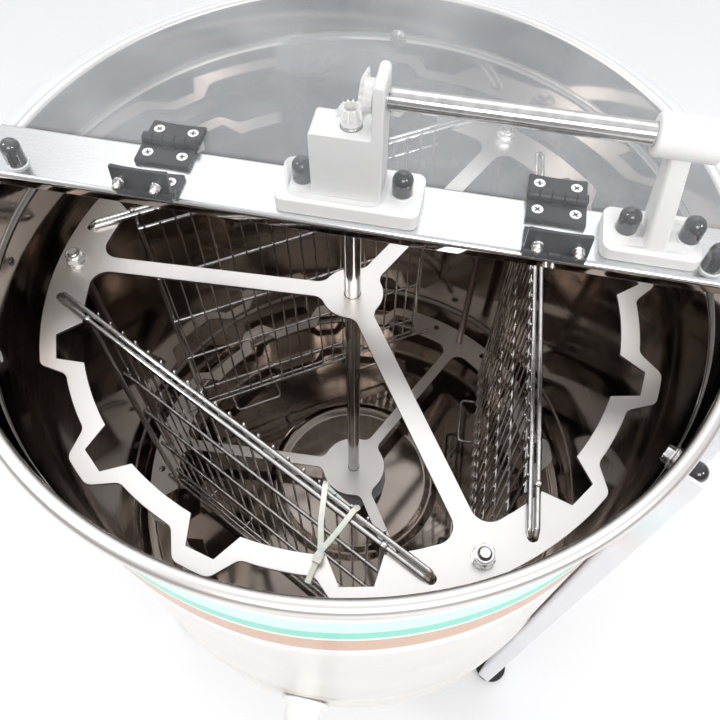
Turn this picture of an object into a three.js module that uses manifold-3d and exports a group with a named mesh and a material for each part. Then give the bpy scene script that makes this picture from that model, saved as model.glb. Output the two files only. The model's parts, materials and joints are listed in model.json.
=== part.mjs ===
// A hand-cranked tangential honey extractor: a steel drum on three legs, a cage with three wire
// baskets that spins in it, a bevel drive on the bridge, two clear lids and a honey gate.
// Millimetres. While it is built, Z = 0 is the plane of the rim and the Z axis is the cage's
// axis; the last lines move the whole object so that its origin is the middle of its footprint.
import * as THREE from "three";
import { mergeVertices } from "three/addons/utils/BufferGeometryUtils.js";
import Module from "manifold-3d";

const wasm = await Module();
wasm.setup();

// Drum
const DRUM_RADIUS = 315;
const SHEET = 1.2;
const RIM_TUBE_RADIUS = 6;
const WALL_BOTTOM_Z = -612;
const BEAD_BULGE = 2.5;
const BEAD_HALF_HEIGHT = 7;
const BEAD_Z = [-49, -520];
const FLOOR_CENTRE_Z = -580;
const FLOOR_EDGE_Z = -600;
const FLOOR_RING_RADIUS = 118.5;
const FLOOR_RING_HALF_WIDTH = 6;
const FLOOR_SKIRT = 10;
const DRUM_SIDES = 48;

// Stand
const GROUND_Z = -1000;
const LEG_ANGLES = [-28, 92, 212];
const LEG_WIDTH = 56;
const LEG_DEPTH = 22;
const LEG_SHEET = 3;
const LEG_TOP_Z = -18;
const FOOT_HEIGHT = 16;
const LEG_BOLT_Z = -48;
const LEG_BOLT_HEAD = 5.5;

// Caps and their studs, shared by every bolt
const CAP_RADIUS = 8.5;
const CAP_HEIGHT = 22;
const END_CAP_HEIGHT = 25;
const LEG_CAP_HEIGHT = 21;
const STUD_RADIUS = 4;

// Cage
const SHAFT_RADIUS = 8;
const SHAFT_FOOT_Z = FLOOR_CENTRE_Z + 9;
const SHAFT_SHOULDER_Z = 97;
const SHAFT_TOP_Z = 106;
const STUB_RADIUS = 5;
const COLLAR_RADIUS = 14;
const TOP_COLLAR_HEIGHT = 14;
const BOTTOM_COLLAR_HEIGHT = 10;
const TOP_PLATE_Z = -109.1;
const BOTTOM_PLATE_Z = -535.8;
const PLATE = 3;
const PAD_ANGLE = 183.07;
const TIE_ROD_CIRCLE = 278.7;
const TIE_ROD_RADIUS = 5;
const HOOK_CIRCLE = 282;
const HOOK_ANGLE = 9.15;
const HOOK_HOLE_RADIUS = 4.5;
const SECTOR = 120;
const TOP_HUB = { radius: 30, armHalfWidth: 9 };
const BOTTOM_HUB = { radius: 45, armHalfWidth: 8 };
const HUB_CORNER = 13;

// The inner edge of the notched ring over one sector, in degrees from the pad's centre: each notch
// takes the end bar of a frame that stands radially.
const TOOTH_RADIUS = 257.5;
const NOTCH_RADIUS = 281.5;
const NOTCH_CORNERS = [[16, 18.2, 23.7, 26.2], [41.9, 44.4, 49.6, 52.2]];
const WINDOW_CORNER = 16;
const EDGE_RADIUS = 296.3;
const DIP_RADIUS = 274.8;

// Wire baskets: each stands on a chord of the cage
const CHORD_DISTANCE = 178;
const HOOK_REACH = 218.5;
const RAIL_RADIUS = 2.5;
const RAIL_Y = 3.3;
const RAIL_Z = -105.8;
const WIRE_PITCH = 33.8;
const WIRES_EACH_SIDE = 5;
const WIRE = 2.5;
const END_ROD_REACH = 175;
const BASKET_FOOT_Z = -533;
const CROSS_ROD_Z = [-127, -302, -480, -515];
const WIRE_LOW_Z = -519;
const WIRE_HIGH_Z = -101.3;
const FOOT_ROD_REACH = 203;
const LEDGE_NEAR = 62;
const LEDGE_FAR = 131;
const LEDGE_DEPTH = 28;
const TIE_ALONG = -127;

// Bridge and what stands on it
const BRIDGE_HALF_LENGTH = 322;
const BRIDGE_HALF_WIDTH = 30.2;
const BRIDGE_TOP_Z = 18.4;
const BRIDGE_SHEET = 2;
const BRIDGE_DEPTH = 12;
const BRIDGE_BOLT = [286, -15];
const BRIDGE_BRACKET = { near: 274, far: 311.5, halfWidth: 24, dropZ: -44, sheet: 2 };
const GEAR_BASE = { left: -60, right: 58, halfWidth: 25, height: 15 };
const GEAR_BOLTS_X = { left: -40, right: 41 };
const GUARD = { left: -52, right: 29.5, front: -22, back: 23, top: 150, wall: 2.5, corner: 9 };
const BRACKET = { left: -30, right: 26, halfWidth: 15, top: 95, upstandLeft: 17.5, upstandTop: 142 };
const TOP_BUSH = { radius: 12.5, height: 26 };
const BLOCK = { left: 200, right: 276, halfWidth: 23, height: 12 };
const BLOCK_BOLTS_X = { left: 217, right: 265 };
const POST_FOOT = { left: 231, right: 247, halfWidth: 20 };
const POST_TOP = { left: 219.5, right: 234.5, halfWidth: 8 };
const BLOCK_HEAD = { left: 208, right: 252, radius: 15 };

// Drive
const DRIVE_Z = 123;
const GEAR_MODULE = 1.75;
const CRANK_TEETH = 20;
const SHAFT_TEETH = 12;
const GEAR_FACE = 7;
const ARM_X = 346;
const ARM_LENGTH = 160;
const ARM_SHEET = 8;
const GRIP_LENGTH = 100;

// Lids and hinges
const LID_RADIUS = 324;
const LID = 4;
const PIN_Y = 30;
const PIN_RISE = 5.8;
const HINGE_X = 165;
const HINGE_HALF_LENGTH = 24;
const KNUCKLE_RADIUS = 5.4;
const KNUCKLE_NEAR = 5;
const KNUCKLE_FAR = 15;
const PIN_RADIUS = 2.4;
const LEAF = 5;
const LEAF_REACH = 25.5;
const LID_TILT = 1.6;
const FRONT_LID_OPEN = 95;

// Honey gate
const GATE_Z = -576;
const GATE_BORE = 19;
const GATE_WALL = 4;
const GATE_STUD_X = 38;
const GATE_PLATE_Y = -372;

const GAP = 0.3;
const RUNNING = 0.5;
const ROUND = 16;
const SMALL_ROUND = 10;
const MERGE = 1e-4;
const THROUGH = 5;

const finishes = {
  satinSteel: { color: 0xe4e1dc, roughness: 0.28, metalness: 1 },
  drumSteel: { color: 0x8b8682, roughness: 0.12, metalness: 1 },
  chrome: { color: 0xd8d8d8, roughness: 0.08, metalness: 1 },
  whitePaint: { color: 0xf4f3f6, roughness: 0.4, metalness: 0 },
  nylon: { color: 0xf6f5f2, roughness: 0.5, metalness: 0 },
  black: { color: 0x16161a, roughness: 0.25, metalness: 0 },
  hinge: { color: 0x1c1c20, roughness: 0.5, metalness: 0 },
  rubber: { color: 0x202020, roughness: 0.8, metalness: 0 },
  clear: { color: 0xdfe6ea, roughness: 0.05, metalness: 0, transparent: true, opacity: 0.3 },
  bush: { color: 0x8d949c, roughness: 0.35, metalness: 0 },
  tie: { color: 0xe9e6cf, roughness: 0.45, metalness: 0 },
};

const radians = THREE.MathUtils.degToRad;

// ---- shapes -------------------------------------------------------------------------------

// A closed geometry as a solid that can be joined and cut.
function solid(geometry) {
  const bare = geometry.clone();
  bare.deleteAttribute("normal");
  bare.deleteAttribute("uv");
  const merged = mergeVertices(bare, MERGE);
  return new wasm.Manifold(
    new wasm.Mesh({
      numProp: 3,
      vertProperties: merged.attributes.position.array,
      triVerts: new Uint32Array(merged.index.array),
    }),
  );
}

function geometryOf(body) {
  const made = body.getMesh();
  const geometry = new THREE.BufferGeometry();
  geometry.setAttribute("position", new THREE.BufferAttribute(made.vertProperties.slice(), 3));
  geometry.setIndex(new THREE.BufferAttribute(made.triVerts.slice(), 1));
  geometry.computeVertexNormals();
  return geometry;
}

function joined(geometries) {
  return geometries.map(solid).reduce((whole, piece) => whole.add(piece));
}

function cut(geometries, cutters) {
  const whole = joined(geometries);
  return geometryOf(cutters.map(solid).reduce((left, piece) => left.subtract(piece), whole));
}

function join(...geometries) {
  return geometryOf(joined(geometries));
}

function box(low, high) {
  const size = high.map((value, axis) => value - low[axis]);
  const middle = high.map((value, axis) => (value + low[axis]) / 2);
  return new THREE.BoxGeometry(...size).translate(...middle);
}

// A straight bar between two points.
function bar(from, to, radius, sides = ROUND) {
  const start = new THREE.Vector3(...from);
  const along = new THREE.Vector3(...to).sub(start);
  const turn = new THREE.Quaternion().setFromUnitVectors(
    new THREE.Vector3(0, 1, 0),
    along.clone().normalize(),
  );
  const geometry = new THREE.CylinderGeometry(radius, radius, along.length(), sides);
  return geometry.applyQuaternion(turn).translate(...start.addScaledVector(along, 0.5));
}

function upright(x, y, lowZ, highZ, radius, sides = ROUND) {
  return bar([x, y, lowZ], [x, y, highZ], radius, sides);
}

// A profile of [radius, z] points turned about the Z axis: it starts and ends on the axis or
// closes on itself.
function turned(profile, sides = ROUND, closed = false) {
  let points = profile.map(([radius, z]) => new THREE.Vector2(radius, z));
  if (THREE.ShapeUtils.isClockWise(points)) points = points.reverse();
  if (closed) points.push(points[0].clone());
  return new THREE.LatheGeometry(points, sides).rotateX(Math.PI / 2);
}

function extruded(shape, depth, curveSegments = 6) {
  return new THREE.ExtrudeGeometry(shape, { depth, curveSegments, bevelEnabled: false });
}

function outline(points) {
  return new THREE.Shape(points.map(([x, y]) => new THREE.Vector2(x, y)));
}

// A rectangle with quarter-round corners.
function roundedRectangle(left, bottom, right, top, corner) {
  const shape = new THREE.Shape();
  shape.moveTo(left + corner, bottom);
  shape.absarc(right - corner, bottom + corner, corner, -Math.PI / 2, 0);
  shape.absarc(right - corner, top - corner, corner, 0, Math.PI / 2);
  shape.absarc(left + corner, top - corner, corner, Math.PI / 2, Math.PI);
  shape.absarc(left + corner, bottom + corner, corner, Math.PI, Math.PI * 1.5);
  return shape;
}

function polar(radius, degrees) {
  return [radius * Math.cos(radians(degrees)), radius * Math.sin(radians(degrees))];
}

// A domed cap nut that stands on z = 0, with its stud reaching down to studZ.
function capNut(height, studZ) {
  const rise = CAP_RADIUS * 0.8;
  const shoulder = height - rise;
  const dome = [30, 60].map((angle) => {
    const [across, up] = polar(1, angle);
    return [CAP_RADIUS * across, shoulder + rise * up];
  });
  const stud = [[0, studZ], [STUD_RADIUS, studZ], [STUD_RADIUS, 0]];
  return turned([...stud, [CAP_RADIUS, 0], [CAP_RADIUS, shoulder], ...dome, [0, height]], SMALL_ROUND);
}

// The hole that a cap nut's stud passes through, upright at a point.
function studHole(x, y, height) {
  return upright(x, y, -THROUGH, height + THROUGH, STUD_RADIUS + GAP, SMALL_ROUND);
}

// ---- scene graph --------------------------------------------------------------------------

function group(parent, position = [0, 0, 0], turn = [0, 0, 0]) {
  const made = new THREE.Group();
  made.position.set(...position);
  made.rotation.set(...turn.map(radians));
  parent.add(made);
  return made;
}

function piece(parent, name, geometry, finish, position = [0, 0, 0], turn = [0, 0, 0]) {
  const mesh = new THREE.Mesh(geometry, new THREE.MeshStandardMaterial(finishes[finish]));
  mesh.name = name;
  mesh.position.set(...position);
  mesh.rotation.set(...turn.map(radians));
  parent.add(mesh);
}

const extractor = new THREE.Group();

// ---- drum ---------------------------------------------------------------------------------

// The wall with its two stiffening beads and the rolled rim, cut for the gate's pipe.
function drumWall() {
  const outer = DRUM_RADIUS + SHEET;
  const bulged = (radius) =>
    BEAD_Z.toReversed().flatMap((z) => [
      [radius, z - BEAD_HALF_HEIGHT],
      [radius + BEAD_BULGE, z],
      [radius, z + BEAD_HALF_HEIGHT],
    ]);
  const rimCentre = DRUM_RADIUS + RIM_TUBE_RADIUS;
  const rim = [180, 120, 60, 0, -60].map((angle) => {
    const [across, up] = polar(RIM_TUBE_RADIUS, angle);
    return [rimCentre + across, up];
  });
  const profile = [
    [DRUM_RADIUS, WALL_BOTTOM_Z],
    ...bulged(DRUM_RADIUS),
    ...rim,
    [outer, -RIM_TUBE_RADIUS],
    ...bulged(outer).reverse(),
    [outer, WALL_BOTTOM_Z],
  ];
  const [outside, inside] = [-DRUM_RADIUS - 20, -DRUM_RADIUS + 20];
  const hole = bar([0, outside, GATE_Z], [0, inside, GATE_Z], GATE_BORE + GATE_WALL + GAP);
  return cut([turned(profile, DRUM_SIDES, true)], [hole]);
}

// The dished bottom: high in the middle, falling to the gate at the wall, with one pressed ring.
function drumFloor() {
  const edge = DRUM_RADIUS - GAP;
  const above = [
    [0, FLOOR_CENTRE_Z],
    [FLOOR_RING_RADIUS - FLOOR_RING_HALF_WIDTH, FLOOR_CENTRE_Z],
    [FLOOR_RING_RADIUS, FLOOR_CENTRE_Z + 3],
    [FLOOR_RING_RADIUS + FLOOR_RING_HALF_WIDTH, FLOOR_CENTRE_Z - 1],
    [edge, FLOOR_EDGE_Z],
  ];
  const below = above.map(([radius, z]) => [radius, z - SHEET]).reverse();
  const skirtZ = FLOOR_EDGE_Z - FLOOR_SKIRT;
  below[0] = [edge, skirtZ];
  below.splice(1, 0, [edge - SHEET, skirtZ], [edge - SHEET, FLOOR_EDGE_Z - SHEET]);
  return turned([...above, ...below], DRUM_SIDES);
}

// The hole for a leg's bolt, along X.
function legBoltHole(near, far) {
  return bar([near, 0, LEG_BOLT_Z], [far, 0, LEG_BOLT_Z], STUD_RADIUS + GAP, SMALL_ROUND);
}

// One leg in its own frame: X points away from the drum. A channel with its web on the beads.
function leg() {
  const web = DRUM_RADIUS + SHEET + BEAD_BULGE + GAP;
  const half = LEG_WIDTH / 2;
  const section = outline([
    [web, -half],
    [web + LEG_DEPTH, -half],
    [web + LEG_DEPTH, -half + LEG_SHEET],
    [web + LEG_SHEET, -half + LEG_SHEET],
    [web + LEG_SHEET, half - LEG_SHEET],
    [web + LEG_DEPTH, half - LEG_SHEET],
    [web + LEG_DEPTH, half],
    [web, half],
  ]);
  const footTop = GROUND_Z + FOOT_HEIGHT + GAP;
  const channel = extruded(section, LEG_TOP_Z - footTop).translate(0, 0, footTop);
  const sole = box([web, -half, footTop], [web + LEG_DEPTH, half, footTop + LEG_SHEET]);
  const hole = legBoltHole(web - THROUGH, web + LEG_SHEET + THROUGH);
  return cut([channel, sole], [hole]);
}

// The bolt through the wall and the leg: a hex head inside, a domed cap outside.
function legBolt() {
  const web = DRUM_RADIUS + SHEET + BEAD_BULGE + GAP;
  const inside = DRUM_RADIUS - SHEET;
  const outside = web + LEG_SHEET + GAP;
  const head = bar([inside - LEG_BOLT_HEAD, 0, 0], [inside, 0, 0], CAP_RADIUS, 6);
  const stud = bar([inside - 1, 0, 0], [outside + 2, 0, 0], STUD_RADIUS, SMALL_ROUND);
  const cap = capNut(LEG_CAP_HEIGHT, -1).rotateY(Math.PI / 2).translate(outside, 0, 0);
  return join(head, stud, cap);
}

function foot() {
  return turned([[0, 0], [24, 0], [27, 4], [27, 10], [20, FOOT_HEIGHT], [0, FOOT_HEIGHT]], ROUND);
}

const drum = group(extractor);
const boltHoles = LEG_ANGLES.map((angle) =>
  legBoltHole(DRUM_RADIUS - THROUGH, DRUM_RADIUS + THROUGH).rotateZ(radians(angle)));
piece(drum, "drum_wall", cut([drumWall()], boltHoles), "drumSteel");
piece(drum, "drum_floor", drumFloor(), "drumSteel");
LEG_ANGLES.forEach((angle, index) => {
  const stand = group(drum, [0, 0, 0], [0, 0, angle]);
  const footX = DRUM_RADIUS + SHEET + BEAD_BULGE + GAP + LEG_DEPTH / 2;
  piece(stand, `leg_${index + 1}`, leg(), "whitePaint");
  piece(stand, `leg_bolt_${index + 1}`, legBolt(), "black", [0, 0, LEG_BOLT_Z]);
  piece(stand, `foot_${index + 1}`, foot(), "rubber", [footX, 0, GROUND_Z]);
});

// ---- bottom bearing and honey gate --------------------------------------------------------

function bottomBearing() {
  const bore = SHAFT_RADIUS + RUNNING;
  return turned([
    [0, 0], [48, 0], [48, 4], [18, 6], [15, 24], [bore, 24], [bore, 8], [0, 8],
  ]);
}

// The gate's pipe through the wall, its flange outside, and the plate with two studs.
function gateBody() {
  const pipe = bar([0, -DRUM_RADIUS + 4, 0], [0, GATE_PLATE_Y - 1, 0], GATE_BORE + GATE_WALL);
  const flangeY = -DRUM_RADIUS - SHEET - GAP - 1;
  const flange = bar([0, flangeY, 0], [0, flangeY - 6, 0], 32);
  const half = GATE_STUD_X + 10;
  const plate = extruded(roundedRectangle(-half, -27, half, 27, 10), 6, 4)
    .rotateX(Math.PI / 2).translate(0, GATE_PLATE_Y, 0);
  const studs = [-GATE_STUD_X, GATE_STUD_X].map((x) =>
    bar([x, GATE_PLATE_Y - 5, 0], [x, GATE_PLATE_Y - 24, 0], 4, 16));
  const pivotHeadY = GATE_PLATE_Y - 12 - GAP * 2;
  const pivotHead = bar([-GATE_STUD_X, pivotHeadY, 0], [-GATE_STUD_X, pivotHeadY - 5, 0], 8);
  const bore = bar([0, -DRUM_RADIUS + 10, 0], [0, GATE_PLATE_Y - 10, 0], GATE_BORE);
  return cut([pipe, flange, plate, ...studs, pivotHead], [bore]);
}

// The swinging flap, about its pivot at the origin: a disc over the bore, with a notch that
// drops over the clamp stud and a lever beyond it.
function gateFlap() {
  const reach = GATE_STUD_X * 2;
  const arm = extruded(roundedRectangle(-10, -10, reach + 11, 10, 9), 6, 4);
  const disc = upright(GATE_STUD_X, 0, 0, 6, GATE_BORE + 5);
  const lever = box([reach + 4, 4, 0], [reach + 11, 34, 6]);
  const notch = box([reach - 6.5, -20, -5], [reach + 6.5, 5, 15]);
  const pivot = upright(0, 0, -5, 15, 4 + RUNNING, 16);
  return cut([arm, disc, lever], [notch, pivot]).rotateX(Math.PI / 2);
}

// A lobed clamp knob with a threaded bore.
function gateKnob() {
  const lobes = 5;
  const steps = lobes * 4;
  const lobed = Array.from({ length: steps }, (_, step) =>
    polar(10.5 + 2 * Math.cos((step * Math.PI) / 2), (step * 360) / steps));
  const body = extruded(outline(lobed), 11);
  return cut([body], [upright(0, 0, -5, 20, 4 + GAP, 16)]).rotateX(Math.PI / 2);
}

piece(drum, "bottom_bearing", bottomBearing(), "nylon", [0, 0, FLOOR_CENTRE_Z + GAP]);
piece(drum, "gate_body", gateBody(), "nylon", [0, 0, GATE_Z]);
const flapY = GATE_PLATE_Y - 6 - GAP;
piece(extractor, "gate_flap", gateFlap(), "nylon", [-GATE_STUD_X, flapY, GATE_Z]);
piece(extractor, "gate_knob", gateKnob(), "black", [GATE_STUD_X, flapY - 6 - GAP, GATE_Z]);

// ---- cage plates --------------------------------------------------------------------------

function mirroredNotches() {
  const mirrored = NOTCH_CORNERS.map((notch) => notch.map((angle) => SECTOR - angle).reverse());
  return [...NOTCH_CORNERS, ...mirrored.reverse()];
}

// The outer edge of the plate over one sector: round over the pad, then stepping in behind the
// teeth between each two notches. A step is [radius, degrees inside the notch's end].
function outerEdge(pad) {
  const shoulder = (EDGE_RADIUS + DIP_RADIUS) / 2 + 4;
  const step = [
    [EDGE_RADIUS, 3.6], [EDGE_RADIUS - 1.5, 2.2], [shoulder, 0.7], [DIP_RADIUS + 3, 0],
    [DIP_RADIUS, -1.8], [DIP_RADIUS, -5],
  ];
  const notches = mirroredNotches();
  const overPad = [-18, -12, -6, 0, 6, 12, 18].map((angle) => [EDGE_RADIUS, angle]);
  const dips = notches.slice(1).flatMap(([start], index) => {
    const end = notches[index].at(-1);
    return [
      ...step.map(([radius, inside]) => [radius, end - inside]),
      ...step.toReversed().map(([radius, inside]) => [radius, start + inside]),
    ];
  });
  return [...overPad, ...dips].map(([radius, angle]) => polar(radius, pad + angle));
}

// The round corner between an arm's edge and the ring, in the arm's own frame.
function windowCorner(armHalfWidth) {
  const side = armHalfWidth + WINDOW_CORNER;
  const along = Math.sqrt((TOOTH_RADIUS - WINDOW_CORNER) ** 2 - side ** 2);
  const end = THREE.MathUtils.radToDeg(Math.atan2(side, along));
  return [0, 1 / 3, 2 / 3, 1].map((part) => {
    const [dx, dy] = polar(WINDOW_CORNER, -90 + part * (90 + end));
    return [along + dx, side + dy];
  });
}

// The fillet where an arm leaves its round hub, as distances along and beside the arm.
function hubCorner(hub) {
  const side = hub.armHalfWidth + HUB_CORNER;
  const along = Math.sqrt((hub.radius + HUB_CORNER) ** 2 - side ** 2);
  const end = THREE.MathUtils.radToDeg(Math.atan2(side, along));
  return [0, 1 / 3, 2 / 3, 1].map((part) => {
    const [dx, dy] = polar(HUB_CORNER, -90 - part * (90 - end));
    return [along + dx, side + dy];
  });
}

// One window between two arms: from the hub along an arm, round the notched ring and back.
function window(pad, hub) {
  const half = hub.armHalfWidth;
  const along = (distance, side, degrees) => {
    const [x, y] = polar(distance, degrees);
    const [dx, dy] = polar(side, degrees + 90);
    return [x + dx, y + dy];
  };
  const corner = windowCorner(half);
  const nearCorner = corner.map(([distance, side]) => along(distance, side, pad)).reverse();
  const farCorner = corner.map(([distance, side]) => along(distance, -side, pad + SECTOR));
  const toothArc = 5;
  const firstTooth = [TOOTH_RADIUS, NOTCH_CORNERS[0][0] - toothArc];
  const ringEdge = [firstTooth, ...mirroredNotches().flatMap(([a, b, c, d]) => [
    [TOOTH_RADIUS, a],
    [NOTCH_RADIUS, b],
    [NOTCH_RADIUS, c],
    [TOOTH_RADIUS, d],
    [TOOTH_RADIUS, d + toothArc],
    [TOOTH_RADIUS, d + toothArc * 2],
  ])].filter(([, angle]) => angle < SECTOR - toothArc * 2);
  const neck = hubCorner(hub);
  const hubEdge = [
    ...neck.map(([distance, side]) => along(distance, side, pad)),
    ...[45, 60, 75].map((angle) => polar(hub.radius, pad + angle)),
    ...neck.map(([distance, side]) => along(distance, -side, pad + SECTOR)).reverse(),
  ];
  const ring = ringEdge.map(([radius, angle]) => polar(radius, pad + angle)).reverse();
  return [...hubEdge, ...farCorner, ...ring, ...nearCorner];
}

function circlePath(x, y, radius, sides = SMALL_ROUND) {
  const path = new THREE.Path();
  const points = Array.from({ length: sides }, (_, step) => {
    const [dx, dy] = polar(radius, (-step * 360) / sides);
    return new THREE.Vector2(x + dx, y + dy);
  });
  return path.setFromPoints(points);
}

function cagePlate(hub) {
  const pads = [0, 1, 2].map((index) => PAD_ANGLE + index * SECTOR);
  const plate = outline(pads.flatMap(outerEdge));
  pads.forEach((pad) => {
    const opening = window(pad, hub).map(([x, y]) => new THREE.Vector2(x, y));
    plate.holes.push(new THREE.Path(opening));
    plate.holes.push(circlePath(...polar(TIE_ROD_CIRCLE, pad), TIE_ROD_RADIUS + GAP));
    [-HOOK_ANGLE, HOOK_ANGLE].forEach((side) =>
      plate.holes.push(circlePath(...polar(HOOK_CIRCLE, pad + side), HOOK_HOLE_RADIUS, 8)));
  });
  plate.holes.push(circlePath(0, 0, SHAFT_RADIUS + GAP, ROUND));
  return extruded(plate, PLATE, 1);
}

const cage = group(extractor);
piece(cage, "top_plate", cagePlate(TOP_HUB), "satinSteel", [0, 0, TOP_PLATE_Z - PLATE]);
piece(cage, "bottom_plate", cagePlate(BOTTOM_HUB), "satinSteel", [0, 0, BOTTOM_PLATE_Z - PLATE]);

// ---- shaft, collars and tie rods ----------------------------------------------------------

function centralShaft() {
  return turned([
    [0, SHAFT_FOOT_Z],
    [SHAFT_RADIUS - 1, SHAFT_FOOT_Z],
    [SHAFT_RADIUS, SHAFT_FOOT_Z + 1],
    [SHAFT_RADIUS, SHAFT_SHOULDER_Z],
    [STUB_RADIUS, SHAFT_SHOULDER_Z],
    [STUB_RADIUS, SHAFT_TOP_Z],
    [0, SHAFT_TOP_Z],
  ]);
}

function ring(innerRadius, outerRadius, height) {
  const profile = [
    [innerRadius, 0], [outerRadius, 0], [outerRadius, height], [innerRadius, height],
  ];
  return turned(profile, ROUND, true);
}

function tieRod() {
  const low = BOTTOM_PLATE_Z - PLATE - GAP;
  const rod = upright(0, 0, low - 1, TOP_PLATE_Z + 14, TIE_ROD_RADIUS, SMALL_ROUND);
  const head = upright(0, 0, low - 7, low, 9.5, 6);
  return join(rod, head);
}

function tieNut() {
  const hex = upright(0, 0, 0, 8, 9.8, 6);
  const insert = upright(0, 0, 7, 11, 7.8, 12);
  return cut([hex, insert], [upright(0, 0, -5, 20, TIE_ROD_RADIUS + GAP, 12)]);
}

piece(cage, "central_shaft", centralShaft(), "chrome");
[["top", TOP_PLATE_Z, TOP_COLLAR_HEIGHT], ["bottom", BOTTOM_PLATE_Z, BOTTOM_COLLAR_HEIGHT]]
  .forEach(([end, plateZ, height]) => {
    const collar = ring(SHAFT_RADIUS + GAP, COLLAR_RADIUS, height);
    piece(cage, `hub_collar_${end}`, collar, "satinSteel", [0, 0, plateZ - PLATE - GAP - height]);
  });
[0, 1, 2].forEach((index) => {
  const [x, y] = polar(TIE_ROD_CIRCLE, PAD_ANGLE + index * SECTOR);
  piece(cage, `tie_rod_${index + 1}`, tieRod(), "satinSteel", [x, y, 0]);
  piece(cage, `tie_nut_${index + 1}`, tieNut(), "satinSteel", [x, y, TOP_PLATE_Z + GAP]);
});

// ---- baskets ------------------------------------------------------------------------------

// One screen in its own frame: X runs along the chord, Y points away from the cage's axis.
function basket() {
  const weld = 0.6;
  const meshY = -RAIL_Y - RAIL_RADIUS - WIRE / 2 + weld;
  const crossY = meshY + WIRE / 2 + RAIL_RADIUS - weld;
  const rail = (reach, y) => bar([-reach, y, RAIL_Z], [reach, y, RAIL_Z], RAIL_RADIUS, 6);
  const rods = [rail(HOOK_REACH + RAIL_RADIUS, -RAIL_Y), rail(END_ROD_REACH, RAIL_Y)];
  [-1, 1].forEach((side) => {
    const hook = side * HOOK_REACH;
    const end = side * END_ROD_REACH;
    rods.push(box([hook - 2.2, -2.2, TOP_PLATE_Z - 9], [hook + 2.2, 2.2, RAIL_Z + 2]));
    rods.push(box([end - 2.6, -RAIL_Y - 1, BASKET_FOOT_Z], [end + 2.6, RAIL_Y + 3, RAIL_Z + 4]));
    const ledge = [
      [LEDGE_NEAR, 0], [LEDGE_NEAR, -LEDGE_DEPTH], [LEDGE_FAR, -LEDGE_DEPTH], [LEDGE_FAR, 0],
    ].map(([along, inward]) => [side * along, inward]);
    for (let step = 0; step < 3; step += 1) {
      const [fromX, fromY] = ledge[step];
      const [toX, toY] = ledge[step + 1];
      const low = [Math.min(fromX, toX) - 2, Math.min(fromY, toY) - 2, BASKET_FOOT_Z - 2];
      const high = [Math.max(fromX, toX) + 2, Math.max(fromY, toY) + 2, BASKET_FOOT_Z + 2];
      rods.push(box(low, high));
    }
  });
  CROSS_ROD_Z.forEach((z) => {
    rods.push(box([-END_ROD_REACH, crossY - 2.2, z - 2.2], [END_ROD_REACH, crossY + 2.2, z + 2.2]));
  });
  const footLow = [-FOOT_ROD_REACH, -2.2, BASKET_FOOT_Z - 2.2];
  rods.push(box(footLow, [FOOT_ROD_REACH, 2.2, BASKET_FOOT_Z + 2.2]));
  const half = WIRE / 2;
  for (let index = -WIRES_EACH_SIDE; index <= WIRES_EACH_SIDE; index += 1) {
    const x = index * WIRE_PITCH;
    rods.push(box([x - half, meshY - half, WIRE_LOW_Z], [x + half, meshY + half, WIRE_HIGH_Z]));
  }
  return join(...rods);
}

// The cable tie that holds a basket to the ring: one closed strap with its head and tail, in a
// frame where X runs along the strap from the basket to the ring.
function cableTie() {
  const half = 2.3;
  const strap = 1.4;
  const lowZ = TOP_PLATE_Z - PLATE - 1;
  const section = outline([
    [-10, RAIL_Z + 6], [70, TOP_PLATE_Z + 1.6], [70, lowZ - strap], [-10, lowZ - strap],
  ]);
  section.holes.push(new THREE.Path([
    [-10 + strap, lowZ], [70 - strap, lowZ], [70 - strap, TOP_PLATE_Z + GAP], [-10 + strap, RAIL_Z + 4.4],
  ].map(([x, z]) => new THREE.Vector2(x, z))));
  const loop = extruded(section, half * 2, 1).rotateX(Math.PI / 2).translate(0, half, 0);
  const headZ = TOP_PLATE_Z + 1;
  const head = box([46, -3.6, headZ], [54, 3.6, headZ + 6]);
  return join(loop, head);
}

[0, 1, 2].forEach((index) => {
  const normal = PAD_ANGLE + SECTOR / 2 + index * SECTOR;
  const [x, y] = polar(CHORD_DISTANCE, normal);
  const place = group(cage, [x, y, 0], [0, 0, normal - 90]);
  piece(place, `basket_${index + 1}`, basket(), "chrome");
  if (index === 0) {
    piece(place, "cable_tie", cableTie(), "tie", [TIE_ALONG, 0, 0], [0, 0, 90]);
  }
});

// ---- bridge -------------------------------------------------------------------------------

const bridge = group(drum, [0, 0, BRIDGE_TOP_Z]);

function bridgeChannel() {
  const half = BRIDGE_HALF_WIDTH;
  const inner = half - BRIDGE_SHEET;
  const section = outline([
    [-half, -BRIDGE_DEPTH], [-inner, -BRIDGE_DEPTH], [-inner, -BRIDGE_SHEET],
    [inner, -BRIDGE_SHEET], [inner, -BRIDGE_DEPTH], [half, -BRIDGE_DEPTH],
    [half, -1.5], [half - 1.5, 0], [-half + 1.5, 0], [-half, -1.5],
  ]);
  const length = BRIDGE_HALF_LENGTH * 2;
  const channel = extruded(section, length, 1)
    .rotateX(Math.PI / 2).rotateZ(Math.PI / 2).translate(-BRIDGE_HALF_LENGTH, 0, 0);
  const studs = [
    [-BRIDGE_BOLT[0], BRIDGE_BOLT[1]], BRIDGE_BOLT, [GEAR_BOLTS_X.left, 0], [GEAR_BOLTS_X.right, 0],
    [BLOCK_BOLTS_X.left, 0], [BLOCK_BOLTS_X.right, 0],
  ].map(([x, y]) => studHole(x, y, 0));
  const shaftHole = upright(0, 0, -THROUGH, THROUGH, SHAFT_RADIUS + RUNNING);
  return cut([channel], [...studs, shaftHole]);
}

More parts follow.
